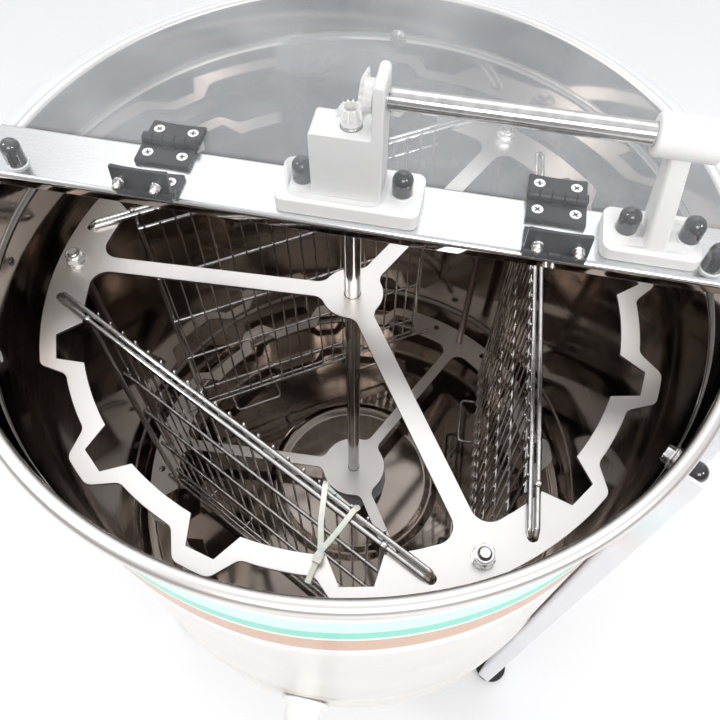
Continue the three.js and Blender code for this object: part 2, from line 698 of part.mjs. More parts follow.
// The angle inside the drum that carries one end of the bridge: a tab under the bridge and a
// drop against the wall, on the far side where the bridge covers it.
function bridgeBracket(sign) {
  const { near, far, halfWidth, dropZ, sheet } = BRIDGE_BRACKET;
  const top = -BRIDGE_SHEET - GAP;
  const plate = (fromX, lowY, lowZ) =>
    box(
      [Math.min(sign * fromX, sign * far), lowY, lowZ],
      [Math.max(sign * fromX, sign * far), halfWidth, top],
    );
  const tab = plate(near, -halfWidth, top - sheet);
  const drop = plate(far - sheet, 0, dropZ);
  return cut([tab, drop], [studHole(sign * BRIDGE_BOLT[0], BRIDGE_BOLT[1], 0)]);
}

piece(bridge, "bridge", bridgeChannel(), "satinSteel");
[["right", 1], ["left", -1]].forEach(([side, sign]) => {
  const cap = capNut(END_CAP_HEIGHT, -BRIDGE_SHEET - 8);
  piece(bridge, `bridge_bracket_${side}`, bridgeBracket(sign), "satinSteel");
  piece(bridge, `bridge_bolt_${side}`, cap, "black", [sign * BRIDGE_BOLT[0], BRIDGE_BOLT[1], GAP]);
});

// ---- gear housing -------------------------------------------------------------------------

function gearBase() {
  const { left, right, halfWidth, height } = GEAR_BASE;
  const plate = extruded(roundedRectangle(left, -halfWidth, right, halfWidth, 6), height, 3);
  const studs = Object.values(GEAR_BOLTS_X).map((x) => studHole(x, 0, height));
  const bore = upright(0, 0, -THROUGH, height + THROUGH, SHAFT_RADIUS + RUNNING);
  return cut([plate], [...studs, bore]);
}

// The white block that carries both shafts: the vertical one below, the crank's in the upstand.
function gearBracket(floorZ) {
  const { left, right, halfWidth, top, upstandLeft, upstandTop } = BRACKET;
  const block = box([left, -halfWidth, floorZ], [right, halfWidth, top]);
  const upstand = box([upstandLeft, -halfWidth, top - 1], [right, halfWidth, upstandTop]);
  const shaftBore = upright(0, 0, floorZ - THROUGH, top + THROUGH, SHAFT_RADIUS + RUNNING);
  const crankBore = bar([0, 0, DRIVE_Z], [right + THROUGH, 0, DRIVE_Z], SHAFT_RADIUS + RUNNING);
  return cut([block, upstand], [shaftBore, crankBore]);
}

// The clear cover, open at the bottom, with a hole for the crank shaft.
function gearGuard(floorZ) {
  const { left, right, front, back, top, wall, corner } = GUARD;
  const shell = (pull, low, high) =>
    extruded(
      roundedRectangle(left + pull, front + pull, right - pull, back - pull, corner - pull),
      high - low,
      4,
    ).translate(0, 0, low);
  const outer = shell(0, floorZ, top);
  const inner = shell(wall, floorZ - THROUGH, top - wall);
  const from = [right - wall - THROUGH, 0, DRIVE_Z];
  const hole = bar(from, [right + THROUGH, 0, DRIVE_Z], SHAFT_RADIUS + 1);
  return cut([outer], [inner, hole]);
}

const gearFloorZ = BRIDGE_TOP_Z + GEAR_BASE.height + GAP * 2;
piece(bridge, "gear_base", gearBase(), "nylon", [0, 0, GAP]);
piece(drum, "gear_bracket", gearBracket(gearFloorZ), "nylon");
piece(drum, "gear_guard", gearGuard(gearFloorZ), "clear");
Object.entries(GEAR_BOLTS_X).forEach(([side, x]) => {
  const reach = -GEAR_BASE.height - BRIDGE_SHEET - 6;
  piece(drum, `gear_bolt_${side}`, capNut(CAP_HEIGHT, reach), "black", [x, 0, gearFloorZ]);
});
const topBush = ring(SHAFT_RADIUS + RUNNING, TOP_BUSH.radius, TOP_BUSH.height);
piece(bridge, "top_bush", topBush, "bush", [0, 0, -BRIDGE_SHEET - GAP - TOP_BUSH.height]);

// ---- crank bearing block ------------------------------------------------------------------

// A post that tapers from one rectangle to another.
function taperedPost(foot, footZ, top, topZ) {
  const geometry = new THREE.BoxGeometry(1, 1, 1);
  const place = geometry.attributes.position;
  for (let index = 0; index < place.count; index += 1) {
    const upper = place.getZ(index) > 0;
    const { left, right, halfWidth } = upper ? top : foot;
    const x = place.getX(index) > 0 ? right : left;
    const y = place.getY(index) > 0 ? halfWidth : -halfWidth;
    place.setXYZ(index, x, y, upper ? topZ : footZ);
  }
  return geometry;
}

// The white block that carries the crank shaft: a foot plate, a leaning post and a round head.
function bearingBlock() {
  const { left, right, halfWidth, height } = BLOCK;
  const rise = DRIVE_Z - BRIDGE_TOP_Z;
  const base = extruded(roundedRectangle(left, -halfWidth, right, halfWidth, 6), height, 3);
  const post = taperedPost(POST_FOOT, height - 1, POST_TOP, rise);
  const head = bar([BLOCK_HEAD.left, 0, rise], [BLOCK_HEAD.right, 0, rise], BLOCK_HEAD.radius);
  const studs = Object.values(BLOCK_BOLTS_X).map((x) => studHole(x, 0, height));
  const bore = bar([left, 0, rise], [right, 0, rise], SHAFT_RADIUS + RUNNING);
  return cut([base, post, head], [...studs, bore]);
}

piece(bridge, "bearing_block", bearingBlock(), "nylon", [0, 0, GAP]);
Object.entries(BLOCK_BOLTS_X).forEach(([side, x]) => {
  const cap = capNut(CAP_HEIGHT, -BLOCK.height - BRIDGE_SHEET - 6);
  piece(bridge, `bearing_bolt_${side}`, cap, "black", [x, 0, BLOCK.height + GAP * 2]);
});

// ---- bevel drive --------------------------------------------------------------------------

// A bevel gear whose large end lies on z = 0 and whose pitch cone's apex is at z = coneHeight.
// Its teeth are thinner than their gaps, so that the pair turns freely.
function bevelGear(teeth, coneHeight, hubRadius, hubLength, boreRadius, firstTooth) {
  const pitchRadius = (teeth * GEAR_MODULE) / 2;
  const root = pitchRadius - 1.15 * GEAR_MODULE;
  const tip = pitchRadius + 0.75 * GEAR_MODULE;
  const step = 360 / teeth;
  const points = Array.from({ length: teeth }, (_, index) => {
    const middle = firstTooth + index * step;
    return [[root, -0.27], [tip, -0.1], [tip, 0.1], [root, 0.27]].map(([radius, part]) =>
      polar(radius, middle + part * step));
  }).flat();
  const shrink = 1 - GEAR_FACE / Math.hypot(pitchRadius, coneHeight);
  const height = coneHeight * (1 - shrink);
  const crown = extruded(outline(points), height, 1);
  const place = crown.attributes.position;
  for (let index = 0; index < place.count; index += 1) {
    if (place.getZ(index) > height / 2) {
      place.setXY(index, place.getX(index) * shrink, place.getY(index) * shrink);
    }
  }
  const hub = upright(0, 0, -hubLength, 1, hubRadius);
  return cut([crown, hub], [upright(0, 0, -hubLength - 5, height + 5, boreRadius)]);
}

const crankPitch = (CRANK_TEETH * GEAR_MODULE) / 2;
const shaftPitch = (SHAFT_TEETH * GEAR_MODULE) / 2;
const shaftBevel = bevelGear(SHAFT_TEETH, crankPitch, 8, 7.6, STUB_RADIUS + GAP, 0);
piece(cage, "shaft_bevel", shaftBevel, "nylon", [0, 0, DRIVE_Z - crankPitch]);

const crank = group(extractor, [0, 0, DRIVE_Z], [0, -90, 0]);
const halfTooth = 180 / CRANK_TEETH;
const crankBevel = bevelGear(CRANK_TEETH, shaftPitch, 12, 6, STUB_RADIUS + GAP, halfTooth);
piece(crank, "crank_bevel", crankBevel, "nylon", [0, 0, -shaftPitch]);

// ---- crank, drawn with Z along the shaft towards the cage and X up ------------------------

function crankShaft() {
  const inner = -shaftPitch + 1;
  const shoulder = -BRACKET.upstandLeft;
  const outer = -ARM_X - ARM_SHEET - 6;
  return turned([
    [0, inner], [STUB_RADIUS, inner], [STUB_RADIUS, shoulder], [SHAFT_RADIUS, shoulder],
    [SHAFT_RADIUS, -ARM_X + GAP], [STUB_RADIUS, -ARM_X + GAP], [STUB_RADIUS, outer], [0, outer],
  ]);
}

// The flat crank arm hangs down from the shaft, with a round boss at each end.
function crankArm() {
  const flat = box([-ARM_LENGTH, -11, 0], [0, 11, ARM_SHEET]);
  const centres = [0, -ARM_LENGTH];
  const bosses = centres.map((x) => upright(x, 0, 0, ARM_SHEET, 15));
  const holes = centres.map((x) => upright(x, 0, -THROUGH, ARM_SHEET + THROUGH, STUB_RADIUS + GAP));
  return cut([flat, ...bosses], holes);
}

// The bolt that the grip turns on: its head is at the outer end of the grip.
function handleBolt() {
  const end = GRIP_LENGTH + GAP * 2;
  const stem = upright(0, 0, -end, ARM_SHEET + 5, STUB_RADIUS, 16);
  const head = upright(0, 0, -end - 5, -end, 8.5, 12);
  return join(stem, head);
}

function handleGrip() {
  const bore = STUB_RADIUS + RUNNING;
  return turned([
    [bore, 0], [13, 0], [15, -6], [14, -30], [16, -60], [16.5, -82], [13, -GRIP_LENGTH],
    [bore, -GRIP_LENGTH],
  ], ROUND, true);
}

piece(crank, "crank_shaft", crankShaft(), "chrome");
piece(crank, "crank_arm", crankArm(), "satinSteel", [0, 0, -ARM_X - ARM_SHEET]);
piece(crank, "handle_bolt", handleBolt(), "chrome", [-ARM_LENGTH, 0, -ARM_X - ARM_SHEET - GAP]);
const handle = group(crank);
piece(handle, "handle_grip", handleGrip(), "black", [-ARM_LENGTH, 0, -ARM_X - ARM_SHEET - GAP]);

// ---- hinges and lids ----------------------------------------------------------------------

// Hinge leaves in a frame with the pin along X through the origin. The fixed leaf reaches
// towards -Y and holds the pin; the moving one reaches towards +Y.
function leafPlate(sign) {
  const near = sign * (KNUCKLE_RADIUS + 0.6);
  const far = sign * LEAF_REACH;
  const foot = -PIN_RISE + GAP;
  const low = [-HINGE_HALF_LENGTH, Math.min(near, far), foot];
  return box(low, [HINGE_HALF_LENGTH, Math.max(near, far), foot + LEAF]);
}

function knuckle(from, to, sign) {
  const barrel = bar([from, 0, 0], [to, 0, 0], KNUCKLE_RADIUS, SMALL_ROUND);
  const reach = sign * (KNUCKLE_RADIUS + 2.6);
  const web = box([from, Math.min(0, reach), -PIN_RISE + GAP], [to, Math.max(0, reach), -1]);
  return join(barrel, web);
}

function fixedLeaf() {
  const knuckles = [
    [-HINGE_HALF_LENGTH, -KNUCKLE_FAR], [-KNUCKLE_NEAR, KNUCKLE_NEAR], [KNUCKLE_FAR, HINGE_HALF_LENGTH],
  ];
  const pin = bar([-HINGE_HALF_LENGTH, 0, 0], [HINGE_HALF_LENGTH, 0, 0], PIN_RADIUS, 8);
  return join(leafPlate(-1), pin, ...knuckles.map(([from, to]) => knuckle(from, to, -1)));
}

function movingLeaf() {
  const near = KNUCKLE_NEAR + GAP;
  const far = KNUCKLE_FAR - GAP;
  const knuckles = [knuckle(-far, -near, 1), knuckle(near, far, 1)];
  const reach = HINGE_HALF_LENGTH + THROUGH;
  const bore = bar([-reach, 0, 0], [reach, 0, 0], PIN_RADIUS + RUNNING, 8);
  return cut([leafPlate(1), ...knuckles], [bore]);
}

// Half of a round clear sheet, in the hinge's frame.
function lidSheet() {
  const shape = new THREE.Shape();
  const straightY = BRIDGE_HALF_WIDTH + 1.6;
  const side = Math.asin(straightY / LID_RADIUS);
  shape.absarc(0, 0, LID_RADIUS, side, Math.PI - side);
  return extruded(shape, LID, 24).translate(0, -PIN_Y, -PIN_RISE - LID);
}

const hingeZ = BRIDGE_TOP_Z + PIN_RISE;
const lids = {
  rear: group(extractor, [0, PIN_Y, hingeZ], [-LID_TILT, 0, 0]),
  front: group(extractor, [0, -PIN_Y, hingeZ], [-FRONT_LID_OPEN, 0, 180]),
};
Object.entries(lids).forEach(([end, lid]) => {
  const turn = end === "rear" ? 0 : 180;
  const pinY = end === "rear" ? PIN_Y : -PIN_Y;
  piece(lid, `lid_${end}`, lidSheet(), "clear");
  [["left", -HINGE_X], ["right", HINGE_X]].forEach(([side, x]) => {
    const lidX = end === "rear" ? x : -x;
    piece(lid, `hinge_${end}_${side}_leaf`, movingLeaf(), "hinge", [lidX, 0, 0]);
    piece(drum, `hinge_${end}_${side}_base`, fixedLeaf(), "hinge", [x, pinY, hingeZ], [0, 0, turn]);
  });
});

// ---- the origin: the middle of the footprint, on the ground -------------------------------

const extent = new THREE.Box3().setFromObject(extractor);
const middle = extent.getCenter(new THREE.Vector3());
extractor.position.set(-middle.x, -middle.y, -extent.min.z);

export default extractor;
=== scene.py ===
"""The looks of the honey extractor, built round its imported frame.

Shapes are worked out in millimetres in the drum's own frame: Z = 0 is the plane of the rim, the
Z axis is the cage's axis, +X runs along the bridge to the crank and -Y faces the viewer. ROW
turns them into the frame's metres.
"""

import json
import math
import random

import bmesh
import bpy
from mathutils import Matrix, Vector
from mathutils.geometry import tessellate_polygon

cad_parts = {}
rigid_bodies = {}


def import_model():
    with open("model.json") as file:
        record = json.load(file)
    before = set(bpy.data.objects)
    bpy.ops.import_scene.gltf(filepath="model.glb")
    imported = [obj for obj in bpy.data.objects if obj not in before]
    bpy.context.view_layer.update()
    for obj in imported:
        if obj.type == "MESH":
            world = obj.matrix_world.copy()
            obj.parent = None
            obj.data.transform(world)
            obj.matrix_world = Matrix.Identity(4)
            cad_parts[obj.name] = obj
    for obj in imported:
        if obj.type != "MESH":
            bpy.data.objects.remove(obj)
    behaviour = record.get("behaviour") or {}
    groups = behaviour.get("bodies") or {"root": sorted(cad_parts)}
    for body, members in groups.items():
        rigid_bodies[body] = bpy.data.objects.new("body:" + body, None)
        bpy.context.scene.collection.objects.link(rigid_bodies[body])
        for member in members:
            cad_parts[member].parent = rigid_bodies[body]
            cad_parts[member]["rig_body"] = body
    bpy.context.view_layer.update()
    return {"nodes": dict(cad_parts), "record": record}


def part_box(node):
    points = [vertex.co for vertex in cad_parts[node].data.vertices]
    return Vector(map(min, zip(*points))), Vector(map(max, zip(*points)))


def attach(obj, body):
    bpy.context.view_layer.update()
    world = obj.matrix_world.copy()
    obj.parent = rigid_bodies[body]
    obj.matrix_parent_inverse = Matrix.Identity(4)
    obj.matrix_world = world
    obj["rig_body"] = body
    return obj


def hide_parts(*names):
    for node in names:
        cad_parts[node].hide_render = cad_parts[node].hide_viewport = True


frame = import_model()

MM = 0.001
BRIDGE_TOP = 18.4
DRUM_RADIUS = 315.0
SHEET = 1.2
RIM_TUBE = 6.0
SHAFT_RADIUS = 8.0
GAP = 0.3

shaft_low, shaft_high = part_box("central_shaft")
shaft_middle = (shaft_low + shaft_high) / 2
ORIGIN = Vector((shaft_middle.x, shaft_middle.y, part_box("bridge")[1].z - BRIDGE_TOP * MM))
ROW = Matrix.Translation(ORIGIN) @ Matrix.Diagonal((MM, MM, MM, 1))
SLOT_OF = {part["node"]: part["material_slot"] for part in frame["record"]["subparts"]}


# ---- placing -----------------------------------------------------------------------------


def at(x=0.0, y=0.0, z=0.0):
    return Matrix.Translation((x, y, z))


def turn(degrees, axis):
    return Matrix.Rotation(math.radians(degrees), 4, axis)


# A shape drawn along Z is laid along +X (its own X becomes Y, its own Y becomes Z) or along -Y.
ALONG_X = Matrix(((0, 0, 1, 0), (1, 0, 0, 0), (0, 1, 0, 0), (0, 0, 0, 1)))
ALONG_MINUS_Y = turn(90, "X")


def polar(radius, degrees, z=None):
    x = radius * math.cos(math.radians(degrees))
    y = radius * math.sin(math.radians(degrees))
    return (x, y) if z is None else (x, y, z)


# ---- shapes: (vertices, faces) in millimetres --------------------------------------------


class Solid:
    """Closed shells gathered into one piece."""

    def __init__(self, *shells):
        self.vertices = []
        self.faces = []
        for shell in shells:
            self.add(shell)

    def add(self, shell, place=None):
        vertices, faces = shell
        start = len(self.vertices)
        self.vertices += [place @ Vector(v) if place else Vector(v) for v in vertices]
        self.faces += [tuple(start + index for index in face) for face in faces]
        return self


def placed(shell, place):
    vertices, faces = shell
    return [place @ Vector(v) for v in vertices], faces


def arc(centre, radius, start, end, steps):
    """Points on a circle from start to end degrees, both included."""
    return [
        (
            centre[0] + radius * math.cos(math.radians(start + (end - start) * k / steps)),
            centre[1] + radius * math.sin(math.radians(start + (end - start) * k / steps)),
        )
        for k in range(steps + 1)
    ]


def filleted(corners, steps=5, closed=True):
    """A path of (x, y) or (x, y, fillet radius) corners, with each fillet drawn as an arc."""
    points = []
    count = len(corners)
    for index, corner in enumerate(corners):
        here = Vector(corner[:2])
        radius = corner[2] if len(corner) > 2 else 0
        inner = closed or 0 < index < count - 1
        if radius <= 0 or not inner:
            points.append(tuple(here))
            continue
        before = Vector(corners[index - 1][:2]) - here
        after = Vector(corners[(index + 1) % count][:2]) - here
        angle = before.angle(after)
        reach = radius / math.tan(angle / 2)
        limit = min(reach, before.length * 0.499, after.length * 0.499)
        radius *= limit / reach
        before.normalize()
        after.normalize()
        centre = here + (before + after).normalized() * (radius / math.sin(angle / 2))
        first = here + before * limit - centre
        last = here + after * limit - centre
        sweep = math.pi - angle
        side = 1 if first.x * last.y - first.y * last.x > 0 else -1
        for step in range(steps + 1):
            turned = Matrix.Rotation(side * sweep * step / steps, 2) @ first
            points.append(tuple(centre + turned))
    return points


def rounded_rectangle(left, bottom, right, top, corner, steps=5):
    return filleted(
        [(left, bottom, corner), (right, bottom, corner), (right, top, corner), (left, top, corner)],
        steps,
    )


def circle(x, y, radius, steps=32):
    return arc((x, y), radius, 0, 360 - 360 / steps, steps - 1)


def area(loop):
    return sum(a[0] * b[1] - b[0] * a[1] for a, b in zip(loop, loop[1:] + loop[:1])) / 2


def inset(loop, distance):
    """The loop moved to its own left, where the material is, by a distance."""
    moved = []
    count = len(loop)
    for index in range(count):
        here = Vector(loop[index])
        before = (here - Vector(loop[index - 1])).normalized()
        after = (Vector(loop[(index + 1) % count]) - here).normalized()
        normal = Vector((-before.y - after.y, before.x + after.x))
        if normal.length < 1e-6:
            normal = Vector((-before.y, before.x))
        normal.normalize()
        stretch = max(0.35, normal.dot(Vector((-before.y, before.x))))
        moved.append(tuple(here + normal * (distance / stretch)))
    return moved


EDGE_STEPS = ((1.0, 0.0), (0.3, 0.3), (0.0, 1.0))


def slab(outer, low, high, edge=0.4, holes=()):
    """A flat plate between two heights with rounded edges, from an outline and its holes."""
    loops = [outer if area(outer) > 0 else outer[::-1]]
    loops += [hole if area(hole) < 0 else hole[::-1] for hole in holes]
    levels = [(edge * across, low + edge * up) for across, up in EDGE_STEPS]
    levels += [(edge * across, high - edge * up) for across, up in reversed(EDGE_STEPS)]
    vertices, faces, starts = [], [], []
    for loop in loops:
        count = len(loop)
        starts.append(len(vertices))
        for distance, z in levels:
            vertices += [(x, y, z) for x, y in (inset(loop, distance) if distance else loop)]
        for level in range(len(levels) - 1):
            base = starts[-1] + level * count
            for k in range(count):
                after = (k + 1) % count
                faces.append((base + k, base + after, base + count + after, base + count + k))
    flat = [(loop, start, k) for loop, start in zip(loops, starts) for k in range(len(loop))]
    caps = [[Vector((x, y, 0)) for x, y in inset(loop, edge)] for loop in loops]
    for a, b, c in tessellate_polygon(caps):
        low_face = [flat[i][1] + flat[i][2] for i in (a, b, c)]
        top = [flat[i][1] + (len(levels) - 1) * len(flat[i][0]) + flat[i][2] for i in (a, b, c)]
        faces.append(tuple(reversed(low_face)))
        faces.append(tuple(top))
    return vertices, faces


def block(low, high, edge=0.8):
    """A box with rounded edges."""
    outline = rounded_rectangle(low[0], low[1], high[0], high[1], edge, 3)
    return slab(outline, low[2], high[2], edge)


def lathe(profile, steps=96, closed=False):
    """A (radius, z) profile turned about Z: it ends on the axis or closes on itself."""
    vertices, faces, rings = [], [], []
    for radius, z in profile:
        if radius < 1e-6:
            rings.append([len(vertices)])
            vertices.append((0, 0, z))
            continue
        rings.append(list(range(len(vertices), len(vertices) + steps)))
        vertices += [polar(radius, 360 * k / steps, z) for k in range(steps)]
    pairs = list(zip(rings, rings[1:]))
    if closed:
        pairs.append((rings[-1], rings[0]))
    for near, far in pairs:
        for k in range(steps):
            after = (k + 1) % steps
            if len(near) == 1 and len(far) == 1:
                continue
            if len(near) == 1:
                faces.append((near[0], far[after], far[k]))
            elif len(far) == 1:
                faces.append((near[k], near[after], far[0]))
            else:
                faces.append((near[k], near[after], far[after], far[k]))
    return vertices, faces


def ring(inner, outer, low, high, edge=0.5, steps=64):
    corners = [(inner, low, edge), (outer, low, edge), (outer, high, edge), (inner, high, edge)]
    profile = filleted(corners, 3)
    return lathe(profile, steps, closed=True)


def rod(radius, low, high, edge=0.5, steps=48):
    profile = filleted([(0, low), (radius, low, edge), (radius, high, edge), (0, high)], 3, closed=False)
    return lathe(profile, steps)


def smooth_path(corners, bend, steps=6):
    """A 3-D path through (x, y, z) corners, each one rounded off with a bend radius."""
    points = [Vector(corners[0])]
    for before, here, after in zip(corners, corners[1:], corners[2:]):
        here = Vector(here)
        back = Vector(before) - here
        on = Vector(after) - here
        angle = back.angle(on)
        if math.pi - angle < 0.02:
            points.append(here)
            continue
        reach = min(bend / math.tan(angle / 2), back.length * 0.499, on.length * 0.499)
        start = here + back.normalized() * reach
        end = here + on.normalized() * reach
        for step in range(steps + 1):
            t = step / steps
            points.append(start * (1 - t) ** 2 + here * (2 * t * (1 - t)) + end * t**2)
    points.append(Vector(corners[-1]))
    return points


def swept(path, section, ends_round=0.0, up=(0, 0, 1), upright=False):
    """A section of (x, y) points swept along a path. Round bars pull in at their ends."""
    points = [Vector(p) for p in path]
    tangents = []
    for index in range(len(points)):
        before = points[max(index - 1, 0)]
        after = points[min(index + 1, len(points) - 1)]
        tangents.append((after - before).normalized())
    side = Vector(up).cross(tangents[0])
    if side.length < 1e-3:
        side = Vector((1, 0, 0)).cross(tangents[0])
    side.normalize()
    rings = []
    for index, (point, tangent) in enumerate(zip(points, tangents)):
        if upright:
            level = Vector(up).cross(tangent)
            side = level.normalized() if level.length > 1e-3 else side
        side = (side - tangent * side.dot(tangent)).normalized()
        lift = tangent.cross(side)
        rings.append([point + side * x + lift * y for x, y in section])
        if ends_round and index in (0, len(points) - 1):
            out = -tangent if index == 0 else tangent
            caps = []
            for share in (0.5, 0.87):
                inward = math.sqrt(1 - share**2)
                caps.append([
                    point + (side * x + lift * y) * inward + out * (ends_round * share)
                    for x, y in section
                ])
            rings = caps[::-1] + rings if index == 0 else rings + caps
    count = len(section)
    vertices = [v for r in rings for v in r]
    faces = [tuple(reversed(range(count)))]
    for level in range(len(rings) - 1):
        base = level * count
        for k in range(count):
            after = (k + 1) % count
            faces.append((base + k, base + after, base + count + after, base + count + k))
    faces.append(tuple(range(len(vertices) - count, len(vertices))))
    return vertices, faces


def wire(corners, radius, bend=0.0, sides=12, tip=0.6):
    """A round bar along straight runs, with bends of one radius."""
    path = smooth_path(corners, bend) if bend and len(corners) > 2 else corners
    return swept(path, circle(0, 0, radius, sides), ends_round=radius * tip)


def loft(rings):
    """Closed rings of equally many points, joined in turn, with a face at each end."""
    count = len(rings[0])
    vertices = [v for r in rings for v in r]
    faces = [tuple(reversed(range(count)))]
    for level in range(len(rings) - 1):
        base = level * count
        for k in range(count):
            after = (k + 1) % count
            faces.append((base + k, base + after, base + count + after, base + count + k))
    faces.append(tuple(range(len(vertices) - count, len(vertices))))
    return vertices, faces


# ---- materials ---------------------------------------------------------------------------


class Look:
    """A procedural material: a principled shader with its colour, roughness and bump worked out
    from noise in the piece's own coordinates."""

    def __init__(self, name, **sockets):
        self.made = bpy.data.materials.new(name)
        self.made.use_nodes = True
        self.nodes = self.made.node_tree.nodes
        self.links = self.made.node_tree.links
        self.shader = self.nodes["Principled BSDF"]
        self.place = self.nodes.new("ShaderNodeTexCoord")
        for socket, value in sockets.items():
            self.shader.inputs[socket.replace("_", " ")].default_value = value

    def noise(self, scale, detail=3.0, stretch=(1, 1, 1), roughness=0.5):
        """A noise whose features are about 1 / scale metres across, drawn out by stretch."""
        mapping = self.nodes.new("ShaderNodeMapping")
        mapping.inputs["Scale"].default_value = stretch
        self.links.new(self.place.outputs["Object"], mapping.inputs["Vector"])
        texture = self.nodes.new("ShaderNodeTexNoise")
        texture.inputs["Scale"].default_value = scale
        texture.inputs["Detail"].default_value = detail
        texture.inputs["Roughness"].default_value = roughness
        self.links.new(mapping.outputs["Vector"], texture.inputs["Vector"])
        return texture.outputs["Fac"]

    def ramp(self, source, *stops, constant=False):
        """Colour stops (position, colour) along a value."""
        node = self.nodes.new("ShaderNodeValToRGB")
        if constant:
            node.color_ramp.interpolation = "CONSTANT"
        elements = node.color_ramp.elements
        while len(elements) < len(stops):
            elements.new(0.5)
        for element, (position, colour) in zip(elements, stops):
            element.position = position
            element.color = (*colour, 1)
        self.links.new(source, node.inputs["Fac"])
        return node.outputs["Color"]

    def mix(self, share, first, second):
        node = self.nodes.new("ShaderNodeMix")
        node.data_type = "RGBA"
        self.links.new(share, node.inputs["Factor"])
        self.links.new(first, node.inputs["A"])
        self.links.new(second, node.inputs["B"])
        return node.outputs["Result"]

    def range(self, source, low, high, from_low=0.3, from_high=0.7):
        node = self.nodes.new("ShaderNodeMapRange")
        node.inputs["From Min"].default_value = from_low
        node.inputs["From Max"].default_value = from_high
        node.inputs["To Min"].default_value = low
        node.inputs["To Max"].default_value = high
        self.links.new(source, node.inputs["Value"])
        return node.outputs["Result"]

    def colour(self, source):
        self.links.new(source, self.shader.inputs["Base Color"])
        return self

    def rough(self, source, low, high):
        self.links.new(self.range(source, low, high), self.shader.inputs["Roughness"])
        return self

    def spread(self, share, more, least):
        """A roughness that grows by an amount with a share, from its least value."""
        node = self.nodes.new("ShaderNodeMath")
        node.operation = "MULTIPLY_ADD"
        node.inputs[1].default_value = more
        self.links.new(share, node.inputs[0])
        self.links.new(least, node.inputs[2])
        self.links.new(node.outputs[0], self.shader.inputs["Roughness"])

    def bump(self, source, depth, strength=1.0):
        """A bump of a depth in metres."""
        node = self.nodes.new("ShaderNodeBump")
        node.inputs["Strength"].default_value = strength
        node.inputs["Distance"].default_value = depth
        self.links.new(source, node.inputs["Height"])
        previous = self.shader.inputs["Normal"]
        if previous.is_linked:
            self.links.new(previous.links[0].from_socket, node.inputs["Normal"])
        self.links.new(node.outputs["Normal"], previous)
        return self

    def facing_up(self):
        """1 on level faces and 0 on upright ones."""
        split = self.nodes.new("ShaderNodeSeparateXYZ")
        self.links.new(self.place.outputs["Normal"], split.inputs["Vector"])
        size = self.nodes.new("ShaderNodeMath")
        size.operation = "ABSOLUTE"
        self.links.new(split.outputs["Z"], size.inputs[0])
        return self.range(size.outputs[0], 0.0, 1.0, 0.55, 0.85)

    def radius(self):
        """The distance from the cage's axis, in metres."""
        centred = self.nodes.new("ShaderNodeVectorMath")
        centred.operation = "MULTIPLY_ADD"
        centred.inputs[1].default_value = (1, 1, 0)
        centred.inputs[2].default_value = (-ORIGIN.x, -ORIGIN.y, 0)
        self.links.new(self.place.outputs["Object"], centred.inputs[0])
        length = self.nodes.new("ShaderNodeVectorMath")
        length.operation = "LENGTH"
        self.links.new(centred.outputs["Vector"], length.inputs[0])
        return length.outputs["Value"]

    def height(self):
        split = self.nodes.new("ShaderNodeSeparateXYZ")
        self.links.new(self.place.outputs["Object"], split.inputs["Vector"])
        return split.outputs["Z"]


def drum_steel():
    """Rolled sheet: painted shade makes it dark inside; bright on the rim and outside."""
    look = Look("drum_steel", Metallic=1.0)
    rolling = look.noise(3, 5, (1, 1, 90))
    patches = look.noise(7, 4)
    # inside is painted shade: the same steel as outside, coloured darker and browner.
    inside = look.ramp(patches, (0.3, (0.235, 0.195, 0.17)), (0.7, (0.36, 0.315, 0.28)))
    outside = look.ramp(patches, (0.3, (0.80, 0.765, 0.73)), (0.7, (0.88, 0.85, 0.82)))
    share = look.range(look.radius(), 0.0, 1.0, (DRUM_RADIUS + 0.3) * MM, (DRUM_RADIUS + 1.0) * MM)
    look.colour(look.mix(share, inside, outside))
    look.spread(share, 0.26, look.range(rolling, 0.05, 0.12))
    return look.bump(rolling, 0.00004, 0.35).made


def satin_steel():
    look = Look("satin_steel", Metallic=1.0)
    grain = look.noise(900, 3, (1, 1, 1))
    clouds = look.noise(16, 4)
    face = look.ramp(clouds, (0.3, (0.84, 0.80, 0.765)), (0.7, (0.88, 0.85, 0.82)))
    # cut is painted shade: the upright faces, the plates' cut edges, are coloured dark brown.
    cut = look.ramp(grain, (0.3, (0.25, 0.19, 0.18)), (0.7, (0.50, 0.41, 0.39)))
    look.colour(look.mix(look.facing_up(), cut, face))
    return look.rough(clouds, 0.30, 0.40).bump(grain, 0.00002, 0.3).made


def brushed_steel():
    look = Look("brushed_steel", Metallic=1.0)
    lines = look.noise(60, 5, (0.35, 12, 12))
    smears = look.noise(9, 5, (0.5, 2, 2))
    look.colour(look.ramp(smears, (0.3, (0.84, 0.83, 0.82)), (0.7, (0.93, 0.925, 0.92))))
    return look.rough(lines, 0.16, 0.30).bump(lines, 0.00003, 0.25).made


def bridge_steel():
    """Brushed on top and left mirror-bright on the bent lips; the top is coloured darker and bluer than the
    lips, painted shade.
    """
    look = Look("bridge_steel", Metallic=1.0)
    lines = look.noise(60, 5, (0.35, 12, 12))
    smears = look.noise(9, 5, (0.5, 2, 2))
    # top is painted shade: the same steel as the lips, toned darker and bluer.
    top = look.ramp(smears, (0.3, (0.66, 0.68, 0.69)), (0.7, (0.78, 0.79, 0.80)))
    lip = look.ramp(smears, (0.3, (0.78, 0.72, 0.68)), (0.7, (0.88, 0.84, 0.81)))
    up = look.facing_up()
    look.colour(look.mix(up, lip, top))
    look.spread(up, 0.22, look.range(lines, 0.02, 0.08))
    return look.bump(lines, 0.00003, 0.2).made


def chrome():
    look = Look("chrome", Metallic=1.0)
    drawn = look.noise(120, 3, (1, 1, 0.1))
    look.colour(look.ramp(drawn, (0.3, (0.56, 0.545, 0.53)), (0.7, (0.74, 0.725, 0.71))))
    return look.rough(drawn, 0.08, 0.18).made


